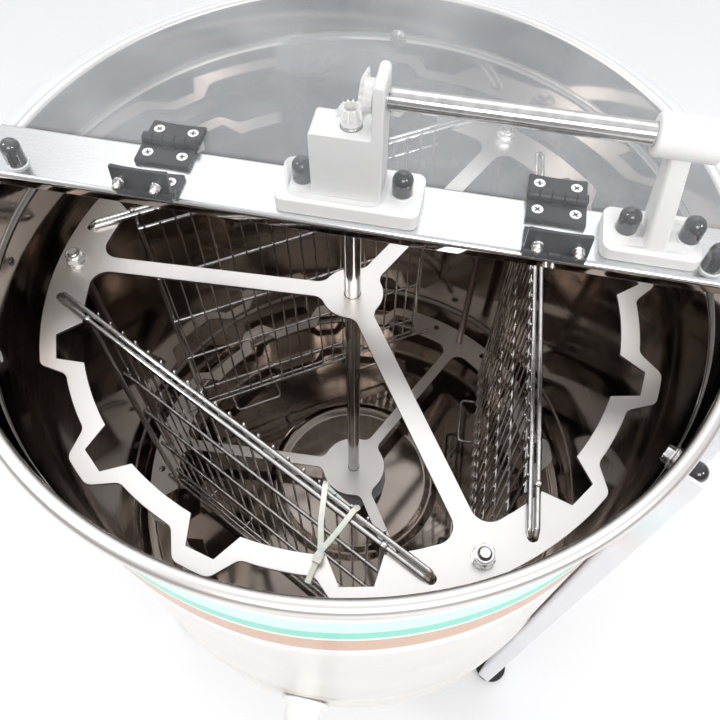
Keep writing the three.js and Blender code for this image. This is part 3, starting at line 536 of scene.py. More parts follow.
def white_paint():
    look = Look("white_paint", Coat_Weight=0.25, Coat_Roughness=0.2)
    peel = look.noise(420, 2)
    shade = look.noise(6, 3)
    look.colour(look.ramp(shade, (0.3, (0.86, 0.86, 0.90)), (0.7, (0.92, 0.92, 0.95))))
    return look.rough(peel, 0.3, 0.42).bump(peel, 0.00006, 0.35).made


def nylon():
    look = Look("nylon", Subsurface_Weight=0.15, Subsurface_Scale=0.004)
    milling = look.noise(220, 3, (1, 6, 1))
    shade = look.noise(22, 3)
    look.colour(look.ramp(shade, (0.3, (0.90, 0.89, 0.87)), (0.7, (0.95, 0.945, 0.93))))
    return look.rough(milling, 0.36, 0.5).bump(milling, 0.00004, 0.3).made


def black_plastic():
    look = Look("black_plastic", Coat_Weight=1.0, Coat_Roughness=0.03)
    ripple = look.noise(260, 2)
    look.colour(look.ramp(ripple, (0.3, (0.008, 0.008, 0.010)), (0.7, (0.020, 0.019, 0.022))))
    return look.rough(ripple, 0.12, 0.24).bump(ripple, 0.00005, 0.25).made


def hinge_plastic():
    look = Look("hinge_plastic")
    grain = look.noise(1500, 3)
    rub = look.noise(45, 4)
    look.colour(look.ramp(rub, (0.35, (0.014, 0.014, 0.017)), (0.7, (0.035, 0.034, 0.038))))
    return look.rough(rub, 0.32, 0.5).bump(grain, 0.00005, 0.5).made


def rubber():
    look = Look("rubber")
    grain = look.noise(700, 4)
    dust = look.noise(30, 5)
    look.colour(look.ramp(dust, (0.4, (0.018, 0.018, 0.018)), (0.75, (0.05, 0.048, 0.046))))
    return look.rough(dust, 0.7, 0.9).bump(grain, 0.00012, 0.6).made


def clear_plastic(name, least, most):
    """A clear sheet as a thin veil whose opacity drifts between two values."""
    look = Look(name, Specular_IOR_Level=0.8, Roughness=0.04)
    haze = look.noise(11, 5)
    look.colour(look.ramp(haze, (0.3, (0.80, 0.84, 0.88)), (0.7, (0.90, 0.93, 0.95))))
    look.links.new(look.range(haze, least, most), look.shader.inputs["Alpha"])
    return look.rough(haze, 0.02, 0.06).made


def grey_bush():
    look = Look("grey_bush", Subsurface_Weight=0.2, Subsurface_Scale=0.003)
    cloud = look.noise(80, 3)
    look.colour(look.ramp(cloud, (0.3, (0.27, 0.31, 0.36)), (0.7, (0.40, 0.45, 0.50))))
    return look.rough(cloud, 0.25, 0.4).made


def tie_plastic():
    look = Look("tie_plastic", Subsurface_Weight=0.4, Subsurface_Scale=0.003)
    cloud = look.noise(140, 3)
    look.colour(look.ramp(cloud, (0.3, (0.84, 0.83, 0.72)), (0.7, (0.92, 0.91, 0.84))))
    return look.rough(cloud, 0.35, 0.5).bump(cloud, 0.00005, 0.3).made


def printed_band():
    look = Look("printed_band", Coat_Weight=0.5, Coat_Roughness=0.15)
    wobble = look.noise(2.2, 1)
    low = ORIGIN.z - 0.205
    high = ORIGIN.z - 0.018
    drift = look.nodes.new("ShaderNodeMath")
    drift.operation = "MULTIPLY_ADD"
    drift.inputs[1].default_value = 0.05
    look.links.new(wobble, drift.inputs[0])
    look.links.new(look.height(), drift.inputs[2])
    along = look.range(drift.outputs[0], 0.0, 1.0, low, high)
    stripes = look.ramp(
        along,
        (0.0, (0.88, 0.88, 0.90)),
        (0.30, (0.60, 0.30, 0.14)),
        (0.52, (0.93, 0.92, 0.80)),
        (0.56, (0.04, 0.70, 0.50)),
        (0.68, (0.62, 0.93, 0.86)),
        (0.86, (0.88, 0.95, 0.94)),
        constant=True,
    )
    speck = look.noise(300, 2)
    look.colour(stripes)
    return look.rough(speck, 0.3, 0.45).bump(speck, 0.00003, 0.2).made


FINISHES = {
    "drum_steel": drum_steel(),
    "satin_steel": satin_steel(),
    "chrome": chrome(),
    "white_paint": white_paint(),
    "nylon": nylon(),
    "black_plastic": black_plastic(),
    "hinge_plastic": hinge_plastic(),
    "rubber": rubber(),
    "clear_plastic": clear_plastic("clear_plastic", 0.035, 0.07),
    "grey_bush": grey_bush(),
    "tie_plastic": tie_plastic(),
}
BRUSHED = brushed_steel()
VEILED = clear_plastic("veiled_plastic", 0.13, 0.20)
BRIDGE_STEEL = bridge_steel()


# ---- making pieces -----------------------------------------------------------------------

SHARP = math.radians(38)


def new_object(name, solid, finish):
    mesh = bpy.data.meshes.new(name)
    mesh.from_pydata([ROW @ v for v in solid.vertices], [], solid.faces)
    mesh.validate()
    made = bpy.data.objects.new(name, mesh)
    bpy.context.scene.collection.objects.link(made)
    outward(mesh)
    mesh.shade_smooth()
    mesh.set_sharp_from_angle(angle=SHARP)
    mesh.materials.append(finish)
    weighted = made.modifiers.new("weighted", "WEIGHTED_NORMAL")
    weighted.keep_sharp = True
    return made


def outward(mesh):
    work = bmesh.new()
    work.from_mesh(mesh)
    bmesh.ops.recalc_face_normals(work, faces=work.faces)
    work.to_mesh(mesh)
    work.free()


def carved(made, *cutters):
    """Cuts shells out of an object for good."""
    tool = new_object("cutter", Solid(*cutters), FINISHES["nylon"])
    cut = made.modifiers.new("cut", "BOOLEAN")
    cut.operation = "DIFFERENCE"
    cut.solver = "EXACT"
    cut.use_self = True
    cut.object = tool
    made.modifiers.move(len(made.modifiers) - 1, 0)
    view = bpy.context.evaluated_depsgraph_get()
    fresh = bpy.data.meshes.new_from_object(made.evaluated_get(view))
    made.modifiers.remove(made.modifiers["cut"])
    made.data = fresh
    fresh.set_sharp_from_angle(angle=SHARP)
    bpy.data.objects.remove(tool)
    return made


def stand_in(node, *shells, finish=None, cutters=()):
    """A finely made piece that stands for a CAD node, on the node's own body."""
    slot = SLOT_OF[node]
    made = new_object(f"{node}_finished", Solid(*shells), finish or FINISHES[slot])
    if cutters:
        carved(made, *cutters)
    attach(made, frame["nodes"][node]["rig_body"])
    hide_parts(node)
    return made


def extra(name, slot, body, *shells, finish=None):
    """A piece with no CAD node of its own."""
    made = new_object(name, Solid(*shells), finish or FINISHES[slot])
    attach(made, body)
    return made


for node, shown in frame["nodes"].items():
    shown.data.materials.clear()
    shown.data.materials.append(FINISHES[SLOT_OF[node]])
    softened = shown.modifiers.new("softened", "BEVEL")
    softened.width = 0.4 * MM
    softened.segments = 2
    softened.limit_method = "ANGLE"


# ---- drum --------------------------------------------------------------------------------

WALL_BOTTOM = -612.0
BEAD_HEIGHTS = (-49.0, -520.0)
BEAD_BULGE = 2.5
BEAD_HALF = 7.0
DRUM_STEPS = 256
GATE_HEIGHT = -576.0
LEG_ANGLES = (-28, 92, 212)
LEG_BOLT_HEIGHT = -48.0


def wall_side(radius, heights):
    """Wall points at a radius for falling or rising heights, with the beads' round bulge."""
    points = []
    for z in heights:
        bulge = 0.0
        for bead in BEAD_HEIGHTS:
            offset = abs(z - bead) / BEAD_HALF
            if offset < 1:
                bulge = BEAD_BULGE * (0.5 + 0.5 * math.cos(math.pi * offset))
        points.append((radius + bulge, z))
    return points


def wall_heights():
    heights = [WALL_BOTTOM]
    for bead in sorted(BEAD_HEIGHTS):
        heights += [bead + BEAD_HALF * (k / 6 - 1) for k in range(13)]
    return heights


def drum_wall():
    inside = wall_side(DRUM_RADIUS, wall_heights())
    outside = wall_side(DRUM_RADIUS + SHEET, wall_heights())[::-1]
    curl = arc((DRUM_RADIUS + RIM_TUBE, 0), RIM_TUBE, 180, -138, 26)
    wall = lathe(inside + curl + outside, DRUM_STEPS, closed=True)
    gate = placed(rod(23.3, 300, 330), at(z=GATE_HEIGHT) @ ALONG_MINUS_Y)
    return stand_in("drum_wall", wall, cutters=[gate])


FLOOR_TOP = -580.0


def drum_floor():
    edge = DRUM_RADIUS - GAP
    above = filleted(
        [(0, FLOOR_TOP), (108, FLOOR_TOP, 8), (118.5, FLOOR_TOP + 3.5, 6), (128, FLOOR_TOP - 1, 8),
         (edge - 12, FLOOR_TOP - 19, 12), (edge, FLOOR_TOP - 14)],
        6, closed=False)
    above[-1] = (edge, -597)
    below = [(radius, z - SHEET) for radius, z in above]
    below[-1] = (edge - SHEET, -598)
    skirt = [(edge, -610), (edge - SHEET, -610)]
    return stand_in("drum_floor", lathe(above + skirt + below[::-1], DRUM_STEPS))


def printed_sheet():
    """The printed band, a thin sheet round the front of the wall."""
    steps = 96
    start, end = -150.0, -30.0
    rings = []
    for k in range(steps + 1):
        angle = start + (end - start) * k / steps
        near = DRUM_RADIUS + SHEET + 0.15
        section = [(near, -200), (near + 0.3, -200), (near + 0.3, -60), (near, -60)]
        rings.append([polar(radius, angle, z) for radius, z in section])
    extra("printed_band", "white_paint", "drum", loft(rings), finish=printed_band())


drum_wall()
drum_floor()

# ---- legs, their bolts and feet ----------------------------------------------------------

LEG_WEB = DRUM_RADIUS + SHEET + BEAD_BULGE + GAP
LEG_WIDTH = 56.0
LEG_DEPTH = 22.0
LEG_SHEET = 3.0
LEG_TOP = -18.0
GROUND = -1000.0
FOOT_HEIGHT = 16.0


def cap(radius, height):
    """A round cap with a domed top."""
    side = filleted([(0, 0), (radius, 0, 0.6), (radius, height - radius)], 3, closed=False)
    return lathe(side + arc((0, height - radius), radius, 0, 90, 14)[1:-1] + [(0, height)], 48)


def hex_head(across, height, steps=6):
    """A hexagon head with its corners turned off, as a solid that stands on z = 0."""
    rings = []
    radius = across / math.sqrt(3)
    for share, z in ((0.93, 0.0), (1.0, 0.35), (1.0, height * 0.8), (0.86, height)):
        ring_points = []
        for k in range(6 * steps):
            angle = 60 * k / steps
            flat = across / 2 / math.cos(math.radians((angle % 60) - 30))
            ring_points.append(polar(min(flat, radius * share), angle, z))
        rings.append(ring_points)
    return loft(rings)


def leg(angle, index):
    place = turn(angle, "Z")
    half = LEG_WIDTH / 2
    out = LEG_WEB + LEG_DEPTH
    corner = LEG_SHEET + 2.5
    section = filleted([
        (LEG_WEB, -half, corner), (out, -half, 1.2), (out, -half + LEG_SHEET, 1.2),
        (LEG_WEB + LEG_SHEET, -half + LEG_SHEET, 2.5), (LEG_WEB + LEG_SHEET, half - LEG_SHEET, 2.5),
        (out, half - LEG_SHEET, 1.2), (out, half, 1.2), (LEG_WEB, half, corner),
    ], 5)
    foot_top = GROUND + FOOT_HEIGHT + GAP
    channel = slab(section, foot_top, LEG_TOP, 0.5)
    sole = block((LEG_WEB + 0.5, -half + 0.5, foot_top), (out, half - 0.5, foot_top + LEG_SHEET), 0.8)
    stand_in(f"leg_{index}", placed(channel, place), placed(sole, place))
    inside = DRUM_RADIUS - 1.2
    bolt = place @ at(z=LEG_BOLT_HEIGHT)
    head = placed(hex_head(13, 5.5), at(inside) @ turn(-90, "Y"))
    washer = placed(ring(4.2, 9.5, 0, 1.1, 0.3), at(inside) @ turn(90, "Y"))
    stud = placed(rod(4, -3, LEG_WEB + LEG_SHEET + 4 - inside, 0.3), at(inside) @ turn(90, "Y"))
    dome = placed(cap(8.5, 21), at(LEG_WEB + LEG_SHEET + GAP) @ turn(90, "Y"))
    stand_in(f"leg_bolt_{index}", placed(dome, bolt))
    extra(f"leg_bolt_{index}_screw", "satin_steel", "drum",
          *[placed(shell, bolt) for shell in (head, stud, washer)], finish=BRUSHED)
    profile = filleted([(0, 0), (23, 0, 2), (27, 3, 3), (27, 10, 3),
                        (20, FOOT_HEIGHT, 1), (0, FOOT_HEIGHT)], 4,
                       closed=False)
    foot_centre = LEG_WEB + LEG_DEPTH / 2
    stand_in(f"foot_{index}", placed(lathe(profile, 64), place @ at(foot_centre, 0, GROUND)))


for number, leg_angle in enumerate(LEG_ANGLES, 1):
    leg(leg_angle, number)
printed_sheet()

# ---- cage plates -------------------------------------------------------------------------

PAD_ANGLE = 183.07
SECTOR = 120
TOOTH_RADIUS = 257.5
NOTCH_RADIUS = 281.5
EDGE_RADIUS = 296.3
DIP_RADIUS = 274.8
WINDOW_CORNER = 16.0
HUB_CORNER = 13.0
NOTCH_CORNERS = ((16, 18.2, 23.7, 26.2), (41.9, 44.4, 49.6, 52.2))
TIE_ROD_CIRCLE = 278.7
TIE_ROD_RADIUS = 5.0
HOOK_CIRCLE = 282.0
HOOK_ANGLE = 9.15
TOP_PLATE = -109.1
BOTTOM_PLATE = -535.8
PLATE = 3.0


def mirrored_notches():
    others = [tuple(SECTOR - angle for angle in reversed(notch)) for notch in reversed(NOTCH_CORNERS)]
    return [*NOTCH_CORNERS, *others]


def on_circle(radius, start, end, step=1.2):
    """(x, y) points on a circle between two angles, without the ends."""
    count = max(2, round(abs(end - start) / step))
    return [polar(radius, start + (end - start) * k / count) for k in range(1, count)]


def plate_edge(pad):
    """The outer edge over one sector: round over the pad, then a dip between each two notches."""
    corners = []
    last = -NOTCH_CORNERS[0][0]
    for a, _, _, d in mirrored_notches():
        start = a - 0.6
        end = d + 0.6
        if last > 0:
            dip = on_circle(DIP_RADIUS, pad + last + 2.2, pad + start - 2.6)
            corners += [(*point, 0) for point in dip]
            corners.append((*polar(DIP_RADIUS, pad + start - 0.9), 10))
            corners.append((*polar(EDGE_RADIUS, pad + start + 2.6), 10))
            last = start + 4.9
        corners += [(*point, 0) for point in on_circle(EDGE_RADIUS, pad + last, pad + end - 4.9)]
        if end < SECTOR - NOTCH_CORNERS[0][0]:
            corners.append((*polar(EDGE_RADIUS, pad + end - 2.6), 10))
            corners.append((*polar(DIP_RADIUS, pad + end + 0.9), 10))
        last = end
    return corners


def beside(distance, side, degrees):
    """A point at a distance along a direction and a distance to its left."""
    x, y = polar(distance, degrees)
    across_x, across_y = polar(side, degrees + 90)
    return x + across_x, y + across_y


def window_corner(arm_half, steps=8):
    """The round corner between an arm's edge and the ring, as distances along and beside the arm."""
    side = arm_half + WINDOW_CORNER
    along = math.sqrt((TOOTH_RADIUS - WINDOW_CORNER) ** 2 - side**2)
    return arc((along, side), WINDOW_CORNER, -90, math.degrees(math.atan2(side, along)), steps)


def hub_corner(hub_radius, arm_half, step=5):
    """The fillet where an arm leaves its round hub, as distances along and beside the arm."""
    side = arm_half + HUB_CORNER
    along = math.sqrt((hub_radius + HUB_CORNER) ** 2 - side ** 2)
    turned = 90 - math.degrees(math.atan2(side, along))
    fillet = on_circle(HUB_CORNER, -90, -90 - turned, step)
    return [(along + dx, side + dy) for dx, dy in fillet]


def window(pad, hub_radius, arm_half):
    """One opening between two arms: the hub, an arm, the notched ring and the other arm."""
    far = pad + SECTOR
    corner = window_corner(arm_half)
    pad_side = [(*beside(along, side, pad), 0) for along, side in reversed(corner)]
    far_side = [(*beside(along, -side, far), 0) for along, side in corner]
    ring_edge = []
    last = 7.0
    for a, b, c, d in mirrored_notches():
        ring_edge += [(*point, 0) for point in on_circle(TOOTH_RADIUS, pad + last, pad + a, 2)]
        ring_edge += [
            (*polar(TOOTH_RADIUS, pad + a), 0.6), (*polar(NOTCH_RADIUS, pad + b), 0.8),
            (*polar(NOTCH_RADIUS, pad + c), 0.8), (*polar(TOOTH_RADIUS, pad + d), 0.6),
        ]
        last = d
    ring_edge += [(*point, 0) for point in on_circle(TOOTH_RADIUS, pad + last, far - 7.0, 2)]
    neck = hub_corner(hub_radius, arm_half)
    hub = [(*beside(along, side, pad), 0) for along, side in neck]
    reach, side = neck[-1]
    edge = math.degrees(math.atan2(side, reach))
    hub += [(*point, 0) for point in on_circle(hub_radius, pad + edge, far - edge, 3)]
    hub += [(*beside(along, -side, far), 0) for along, side in reversed(neck)]
    return filleted([*hub, *far_side, *reversed(ring_edge), *pad_side], 7)


def cage_plate(node, top, hub_radius, arm_half):
    pads = [PAD_ANGLE + k * SECTOR for k in range(3)]
    outline = filleted([corner for pad in pads for corner in plate_edge(pad)], 7)
    holes = [window(pad, hub_radius, arm_half) for pad in pads]
    for pad in pads:
        holes.append(circle(*polar(TIE_ROD_CIRCLE, pad), TIE_ROD_RADIUS + GAP, 24))
        for side in (-HOOK_ANGLE, HOOK_ANGLE):
            holes.append(circle(*polar(HOOK_CIRCLE, pad + side), 4.6, 24))
    holes.append(circle(0, 0, SHAFT_RADIUS + GAP, 40))
    stand_in(node, slab(outline, top - PLATE, top, 0.35, holes))


cage_plate("top_plate", TOP_PLATE, 30, 9)
cage_plate("bottom_plate", BOTTOM_PLATE, 45, 8)

# ---- more shapes -------------------------------------------------------------------------


def hoop(rings):
    """Closed rings joined in turn, the last one to the first: a body with a hole through it."""
    count = len(rings[0])
    vertices = [v for r in rings for v in r]
    faces = []
    for level in range(len(rings)):
        near = level * count
        far = (level + 1) % len(rings) * count
        for k in range(count):
            after = (k + 1) % count
            faces.append((near + k, near + after, far + after, far + k))
    return vertices, faces


def hexagon_ring(across, z, share=1.0, steps=6):
    """A hexagon whose corners are turned down to a share of their full radius."""
    limit = across / math.sqrt(3) * share
    points = []
    for k in range(6 * steps):
        angle = 60 * k / steps
        flat = across / 2 / math.cos(math.radians((angle % 60) - 30))
        points.append(polar(min(flat, limit), angle, z))
    return points


def nut(across, height, bore):
    count = 36
    outer = [hexagon_ring(across, z, share) for share, z in (
        (0.88, 0.0), (0.97, 0.7), (1.0, 1.6), (1.0, height - 1.6), (0.97, height - 0.7), (0.88, height))]
    inner = [[polar(bore + wider, 360 * k / count, z) for k in range(count)]
             for wider, z in ((0.8, height), (0, height - 0.8), (0, 0.8), (0.8, 0.0))]
    return hoop(outer + inner)


def thread(radius, low, high, pitch=1.25, steps=40):
    """A threaded end: rings that swell and shrink once a pitch."""
    profile = [(0, low)]
    z = low
    while z < high - pitch:
        profile += [(radius - 0.55, z), (radius, z + pitch * 0.5)]
        z += pitch
    profile += [(radius - 0.55, z), (radius - 0.9, high), (0, high)]
    return lathe(profile, steps)


def extruded_along(outline, start, end, place, edge=0.3):
    """A slab whose thickness runs along one axis of a frame."""
    return placed(slab(outline, start, end, edge), place)


# A flat (x, z) drawing stands up: its thickness runs along -Y.
UPRIGHT_XZ = turn(90, "X")
# A flat (y, z) drawing stands up: its thickness runs along +X.
UPRIGHT_YZ = ALONG_X

# ---- shaft, collars, tie rods and their nuts ---------------------------------------------

SHAFT_FOOT = -571.0
SHAFT_SHOULDER = 97.0
SHAFT_TOP = 106.0
STUB_RADIUS = 5.0


def central_shaft():
    profile = filleted([
        (0, SHAFT_FOOT), (SHAFT_RADIUS, SHAFT_FOOT, 1.2), (SHAFT_RADIUS, SHAFT_SHOULDER, 0.8),
        (STUB_RADIUS, SHAFT_SHOULDER, 0.3), (STUB_RADIUS, SHAFT_TOP, 0.8), (0, SHAFT_TOP),
    ], 4, closed=False)
    stand_in("central_shaft", lathe(profile, 64))


def set_collar(node, low, high):
    """A clamping ring under a hub, with its set screw."""
    middle_height = (low + high) / 2
    screw = placed(ring(1.4, 2.9, 9, 15.2, 0.25, 24), at(z=middle_height) @ turn(-60, "Z") @ turn(90, "Y"))
    stand_in(node, ring(SHAFT_RADIUS + GAP, 14, low, high, 1.0, 64), screw, finish=BRUSHED)


def tie(index):
    x, y = polar(TIE_ROD_CIRCLE, PAD_ANGLE + index * SECTOR)
    place = at(x, y)
    low = BOTTOM_PLATE - PLATE - GAP
    top = TOP_PLATE + 14
    plain = rod(TIE_ROD_RADIUS, low - 1, TOP_PLATE - 6, 0.3)
    stand_in(f"tie_rod_{index + 1}", placed(plain, place), placed(thread(5, TOP_PLATE - 7, top), place),
             placed(hex_head(16.5, 7), place @ at(z=low - 7)))
    turned_by = (14, 37, 5)[index]
    nut_place = place @ at(z=TOP_PLATE + GAP) @ turn(turned_by, "Z")
    washer = ring(5.5, 9.9, 0, 1.1, 0.3, 48)
    collar = ring(5.35, 7.9, 8.2, 11, 0.7, 48)
    stand_in(f"tie_nut_{index + 1}", placed(nut(17, 8, 5.35), nut_place @ at(z=1.1)),
             placed(washer, nut_place), placed(collar, nut_place), finish=BRUSHED)


central_shaft()
set_collar("hub_collar_top", TOP_PLATE - PLATE - GAP - 14, TOP_PLATE - PLATE - GAP)
set_collar("hub_collar_bottom", BOTTOM_PLATE - PLATE - GAP - 10, BOTTOM_PLATE - PLATE - GAP)
for number in range(3):
    tie(number)

# ---- wire baskets ------------------------------------------------------------------------

CHORD = 178.0
HOOK_REACH = 218.7
RAIL_RADIUS = 2.4
RAIL_HEIGHT = -105.8
RAIL_OFFSET = 3.3
WIRE_PITCH = 16.9
WIRES_EACH_SIDE = 10
WIRE_RADIUS = 1.25
WIRE_FOOT = -519.0
WIRE_TIP = -101.9
END_ROD = 175.0
END_ROD_RADIUS = 3.2
BASKET_FOOT = -533.0
CROSS_HEIGHTS = (-127.0, -214.0, -302.0, -391.0, -480.0, -515.0)
LEDGE = (62.0, 131.0)
LEDGE_DEPTH = 28.0
FOOT_REACH = 203.0


def hairpin(side):
    """The rail's end: it dips through the plate's hole and comes back to the end rod."""
    top = RAIL_HEIGHT
    hook = side * HOOK_REACH
    return [
        (hook - side * 4, -RAIL_OFFSET, top), (hook, -2.1, top - 3), (hook + side * 0.3, -2.0, top - 9),
        (hook + side * 0.3, 2.0, top - 9), (hook, 2.4, top - 3.4), (hook - side * 6, 3.0, top - 0.6),
        (side * END_ROD, 3.0, top - 0.4),
    ]


def basket(index):
    normal = PAD_ANGLE + SECTOR / 2 + index * SECTOR
    x, y = polar(CHORD, normal)
    place = at(x, y) @ turn(normal - 90, "Z")
    mesh_y = -RAIL_OFFSET - RAIL_RADIUS - WIRE_RADIUS + 0.5
    rail = wire([*reversed(hairpin(-1)), *hairpin(1)], RAIL_RADIUS, 2.6)
    rail_ends = [(end, RAIL_OFFSET, RAIL_HEIGHT) for end in (-END_ROD, END_ROD)]
    outer_rail = wire(rail_ends, RAIL_RADIUS)
    bars = [rail, outer_rail]
    for side in (-1, 1):
        end = side * END_ROD
        bars.append(wire([(end, 3, BASKET_FOOT), (end, 3, RAIL_HEIGHT + 2)], END_ROD_RADIUS, sides=16))
        near, far = (side * reach for reach in LEDGE)
        bars.append(wire([
            (near, 0, BASKET_FOOT), (near, -LEDGE_DEPTH, BASKET_FOOT),
            (far, -LEDGE_DEPTH, BASKET_FOOT), (far, 0, BASKET_FOOT),
        ], 2.0, 7))
    for z in CROSS_HEIGHTS:
        bars.append(wire([(-END_ROD, -RAIL_OFFSET, z), (END_ROD, -RAIL_OFFSET, z)], 2.1))
    bars.append(wire([(-FOOT_REACH, 0, BASKET_FOOT), (FOOT_REACH, 0, BASKET_FOOT)], 2.2))
    for count in range(-WIRES_EACH_SIDE, WIRES_EACH_SIDE + 1):
        along = count * WIRE_PITCH
        bars.append(wire([(along, mesh_y, WIRE_FOOT), (along, mesh_y, WIRE_TIP)], WIRE_RADIUS, sides=8))
    stand_in(f"basket_{index + 1}", *[placed(shell, place) for shell in bars])
    return place


basket_places = [basket(number) for number in range(3)]

STRAP = rounded_rectangle(-2.3, -0.65, 2.3, 0.65, 0.3, 2)
TIE_LOOP = (
    (-144, 44, -104.6), (-124, 18.5, -101.6), (-108, -6, -100.4), (-105.5, -10.2, -103.5),
    (-108, -8.5, -111.8),
    (-134, -6.5, -112), (-140.5, -9.6, -104), (-139.6, -4, -100.4), (-140, 19, -101.6),
    (-138.5, 44, -104.2),
)
TIE_TAIL = ((-140, 38, -104.6), (-142.5, 50.4, -105.2), (-146, 62, -106.6))


def cable_tie(place):
    """A strap looped twice over the rails and drawn through its head on the ring."""
    loop = swept(smooth_path(TIE_LOOP, 5, 5), STRAP, upright=True)
    tail = swept(smooth_path(TIE_TAIL, 14, 5), STRAP)
    head_place = at(-141, 43, -107.4) @ turn(105, "Z")
    head = slab(rounded_rectangle(-3.8, -3.8, 3.8, 3.8, 0.9, 3), 0, 5.6, 0.7)
    window_lip = slab(rounded_rectangle(-5.8, -2.9, -3.4, 2.9, 0.5, 2), 1.0, 4.2, 0.4)
    shells = [loop, tail, placed(head, head_place), placed(window_lip, head_place)]
    stand_in("cable_tie", *[placed(shell, place) for shell in shells])


cable_tie(basket_places[0])

# ---- bridge, its brackets and bolts ------------------------------------------------------

BRIDGE_HALF_LENGTH = 322.0
BRIDGE_HALF_WIDTH = 30.2
BRIDGE_SHEET = 2.0
BRIDGE_DEPTH = 12.0
BRIDGE_BOLT = (286.0, -15.0)
BRIDGE_CAP_HEIGHT = 25.0
BOLT_HOLE_RADIUS = 4.4


def bridge():
    half = BRIDGE_HALF_WIDTH
    low = BRIDGE_TOP - BRIDGE_DEPTH
    under = BRIDGE_TOP - BRIDGE_SHEET
    section = filleted([
        (-half, low, 0.8), (-half + BRIDGE_SHEET, low, 0.8), (-half + BRIDGE_SHEET, under, 3),
        (half - BRIDGE_SHEET, under, 3), (half - BRIDGE_SHEET, low, 0.8), (half, low, 0.8),
        (half, BRIDGE_TOP, 5), (-half, BRIDGE_TOP, 5),
    ], 8)
    channel = extruded_along(section, -BRIDGE_HALF_LENGTH, BRIDGE_HALF_LENGTH, UPRIGHT_YZ, 0.4)
    hole = rod(SHAFT_RADIUS + 0.5, 0, 40, 0.2)
    stand_in("bridge", channel, cutters=[hole], finish=BRIDGE_STEEL)


def bracket(side, sign):
    """An angle under the bridge, riveted to the wall where the bridge covers it."""
    wall = DRUM_RADIUS - 3.5
    top = BRIDGE_TOP - BRIDGE_SHEET - GAP
    mirror = Matrix.Diagonal((sign, 1, 1, 1))
    tab = block((274, -24, top - 2), (wall, 24, top), 0.6)
    drop = block((wall - 2, 0, BRIDGE_TOP - 44), (wall, 24, top), 0.6)
    rivet = placed(cap(4, 2.6), at(wall - 2, 12, -14) @ turn(-90, "Y"))
    shells = [placed(shell, mirror) for shell in (tab, drop, rivet)]
    stand_in(f"bridge_bracket_{side}", *shells, finish=BRUSHED)


def cap_bolt(node, x, y, base, stud_foot, height=22.0):
    """A domed black cap on a white washer."""
    shells = [placed(cap(8.5, height - 1.2), at(x, y, base + 1.2))]
    stud = placed(rod(4, stud_foot, base + 4, 0.3), at(x, y))
    stand_in(node, *shells)
    extra(f"{node}_washer", "nylon", "drum", placed(ring(4.3, 9.6, base, base + 1.2, 0.35, 48), at(x, y)))
    extra(f"{node}_stud", "satin_steel", "drum", stud, finish=BRUSHED)


bridge_end = BRIDGE_TOP + GAP
bridge()
for side, sign in (("right", 1), ("left", -1)):
    bracket(side, sign)
    cap_bolt(f"bridge_bolt_{side}", sign * BRIDGE_BOLT[0], BRIDGE_BOLT[1], bridge_end,
             BRIDGE_TOP - 10, BRIDGE_CAP_HEIGHT)

# ---- gear housing ------------------------------------------------------------------------

DRIVE = 123.0
GEAR_BASE_TOP = BRIDGE_TOP + GAP + 15
GEAR_FLOOR = GEAR_BASE_TOP + GAP
GEAR_BOLTS = {"left": -40.0, "right": 41.0}


def gear_base():
    outline = rounded_rectangle(-60, -25, 58, 25, 8, 8)
    holes = [circle(x, 0, BOLT_HOLE_RADIUS, 24) for x in GEAR_BOLTS.values()]
    holes.append(circle(0, 0, SHAFT_RADIUS + 0.5, 40))
    stand_in("gear_base", slab(outline, BRIDGE_TOP + GAP, GEAR_BASE_TOP, 1.6, holes))


def gear_bracket():
    outline = filleted([
        (-30, GEAR_FLOOR, 1.2), (26, GEAR_FLOOR, 1.2), (26, 142, 4), (17.5, 142, 4),
        (17.5, 95, 2.5), (-30, 95, 3),
    ], 5)
    block_shell = extruded_along(outline, -15, 15, UPRIGHT_XZ, 1.2)
    shaft_bore = rod(SHAFT_RADIUS + 0.5, 20, 110, 0.2)
    crank_bore = placed(rod(SHAFT_RADIUS + 0.5, -8, 40, 0.2), at(z=DRIVE) @ ALONG_X)
    stand_in("gear_bracket", block_shell, cutters=[shaft_bore, crank_bore])


def gear_guard():
    left, right, front, back, top, wall, corner = -52, 29.5, -22, 23, BRIDGE_TOP + 131.6, 2.5, 13
    outer = slab(rounded_rectangle(left, front, right, back, corner, 10), GEAR_FLOOR, top, 2.2)
    inner = slab(rounded_rectangle(left + wall, front + wall, right - wall, back - wall, corner - wall, 10),
                 GEAR_FLOOR - 10, top - wall, 1.4)
    hole = placed(rod(SHAFT_RADIUS + 1, right - 8, right + 8, 0.2), at(z=DRIVE) @ ALONG_X)
    stand_in("gear_guard", outer, cutters=[inner, hole])


gear_base()
gear_bracket()
gear_guard()
for side, x in GEAR_BOLTS.items():
    cap_bolt(f"gear_bolt_{side}", x, 0, GEAR_FLOOR, BRIDGE_TOP - 8)
BUSH_BORE = 8.5
BUSH_RADIUS = 12.5
BUSH_LENGTH = 26.0
bush_top = BRIDGE_TOP - BRIDGE_SHEET - GAP
bush_foot = bush_top - BUSH_LENGTH
bush = filleted([(BUSH_BORE, bush_foot, 0.8), (BUSH_RADIUS, bush_foot, 1.4),
                 (BUSH_RADIUS, bush_top, 0.4), (BUSH_BORE, bush_top, 0.4)], 4)
stand_in("top_bush", lathe(bush, 64, closed=True))
bush_knob = placed(rod(3.2, 11.6, 16.4, 0.9, 24), at(z=bush_top - 7) @ turn(200, "Z") @ turn(90, "Y"))
extra("top_bush_screw", "black_plastic", "drum", bush_knob)

# ---- crank bearing block -----------------------------------------------------------------

BLOCK_BOLTS = {"left": 217.0, "right": 265.0}
BLOCK_BASE = BRIDGE_TOP + GAP
BLOCK_TOP = BLOCK_BASE + 12
BLOCK_HEAD_RADIUS = 15.0


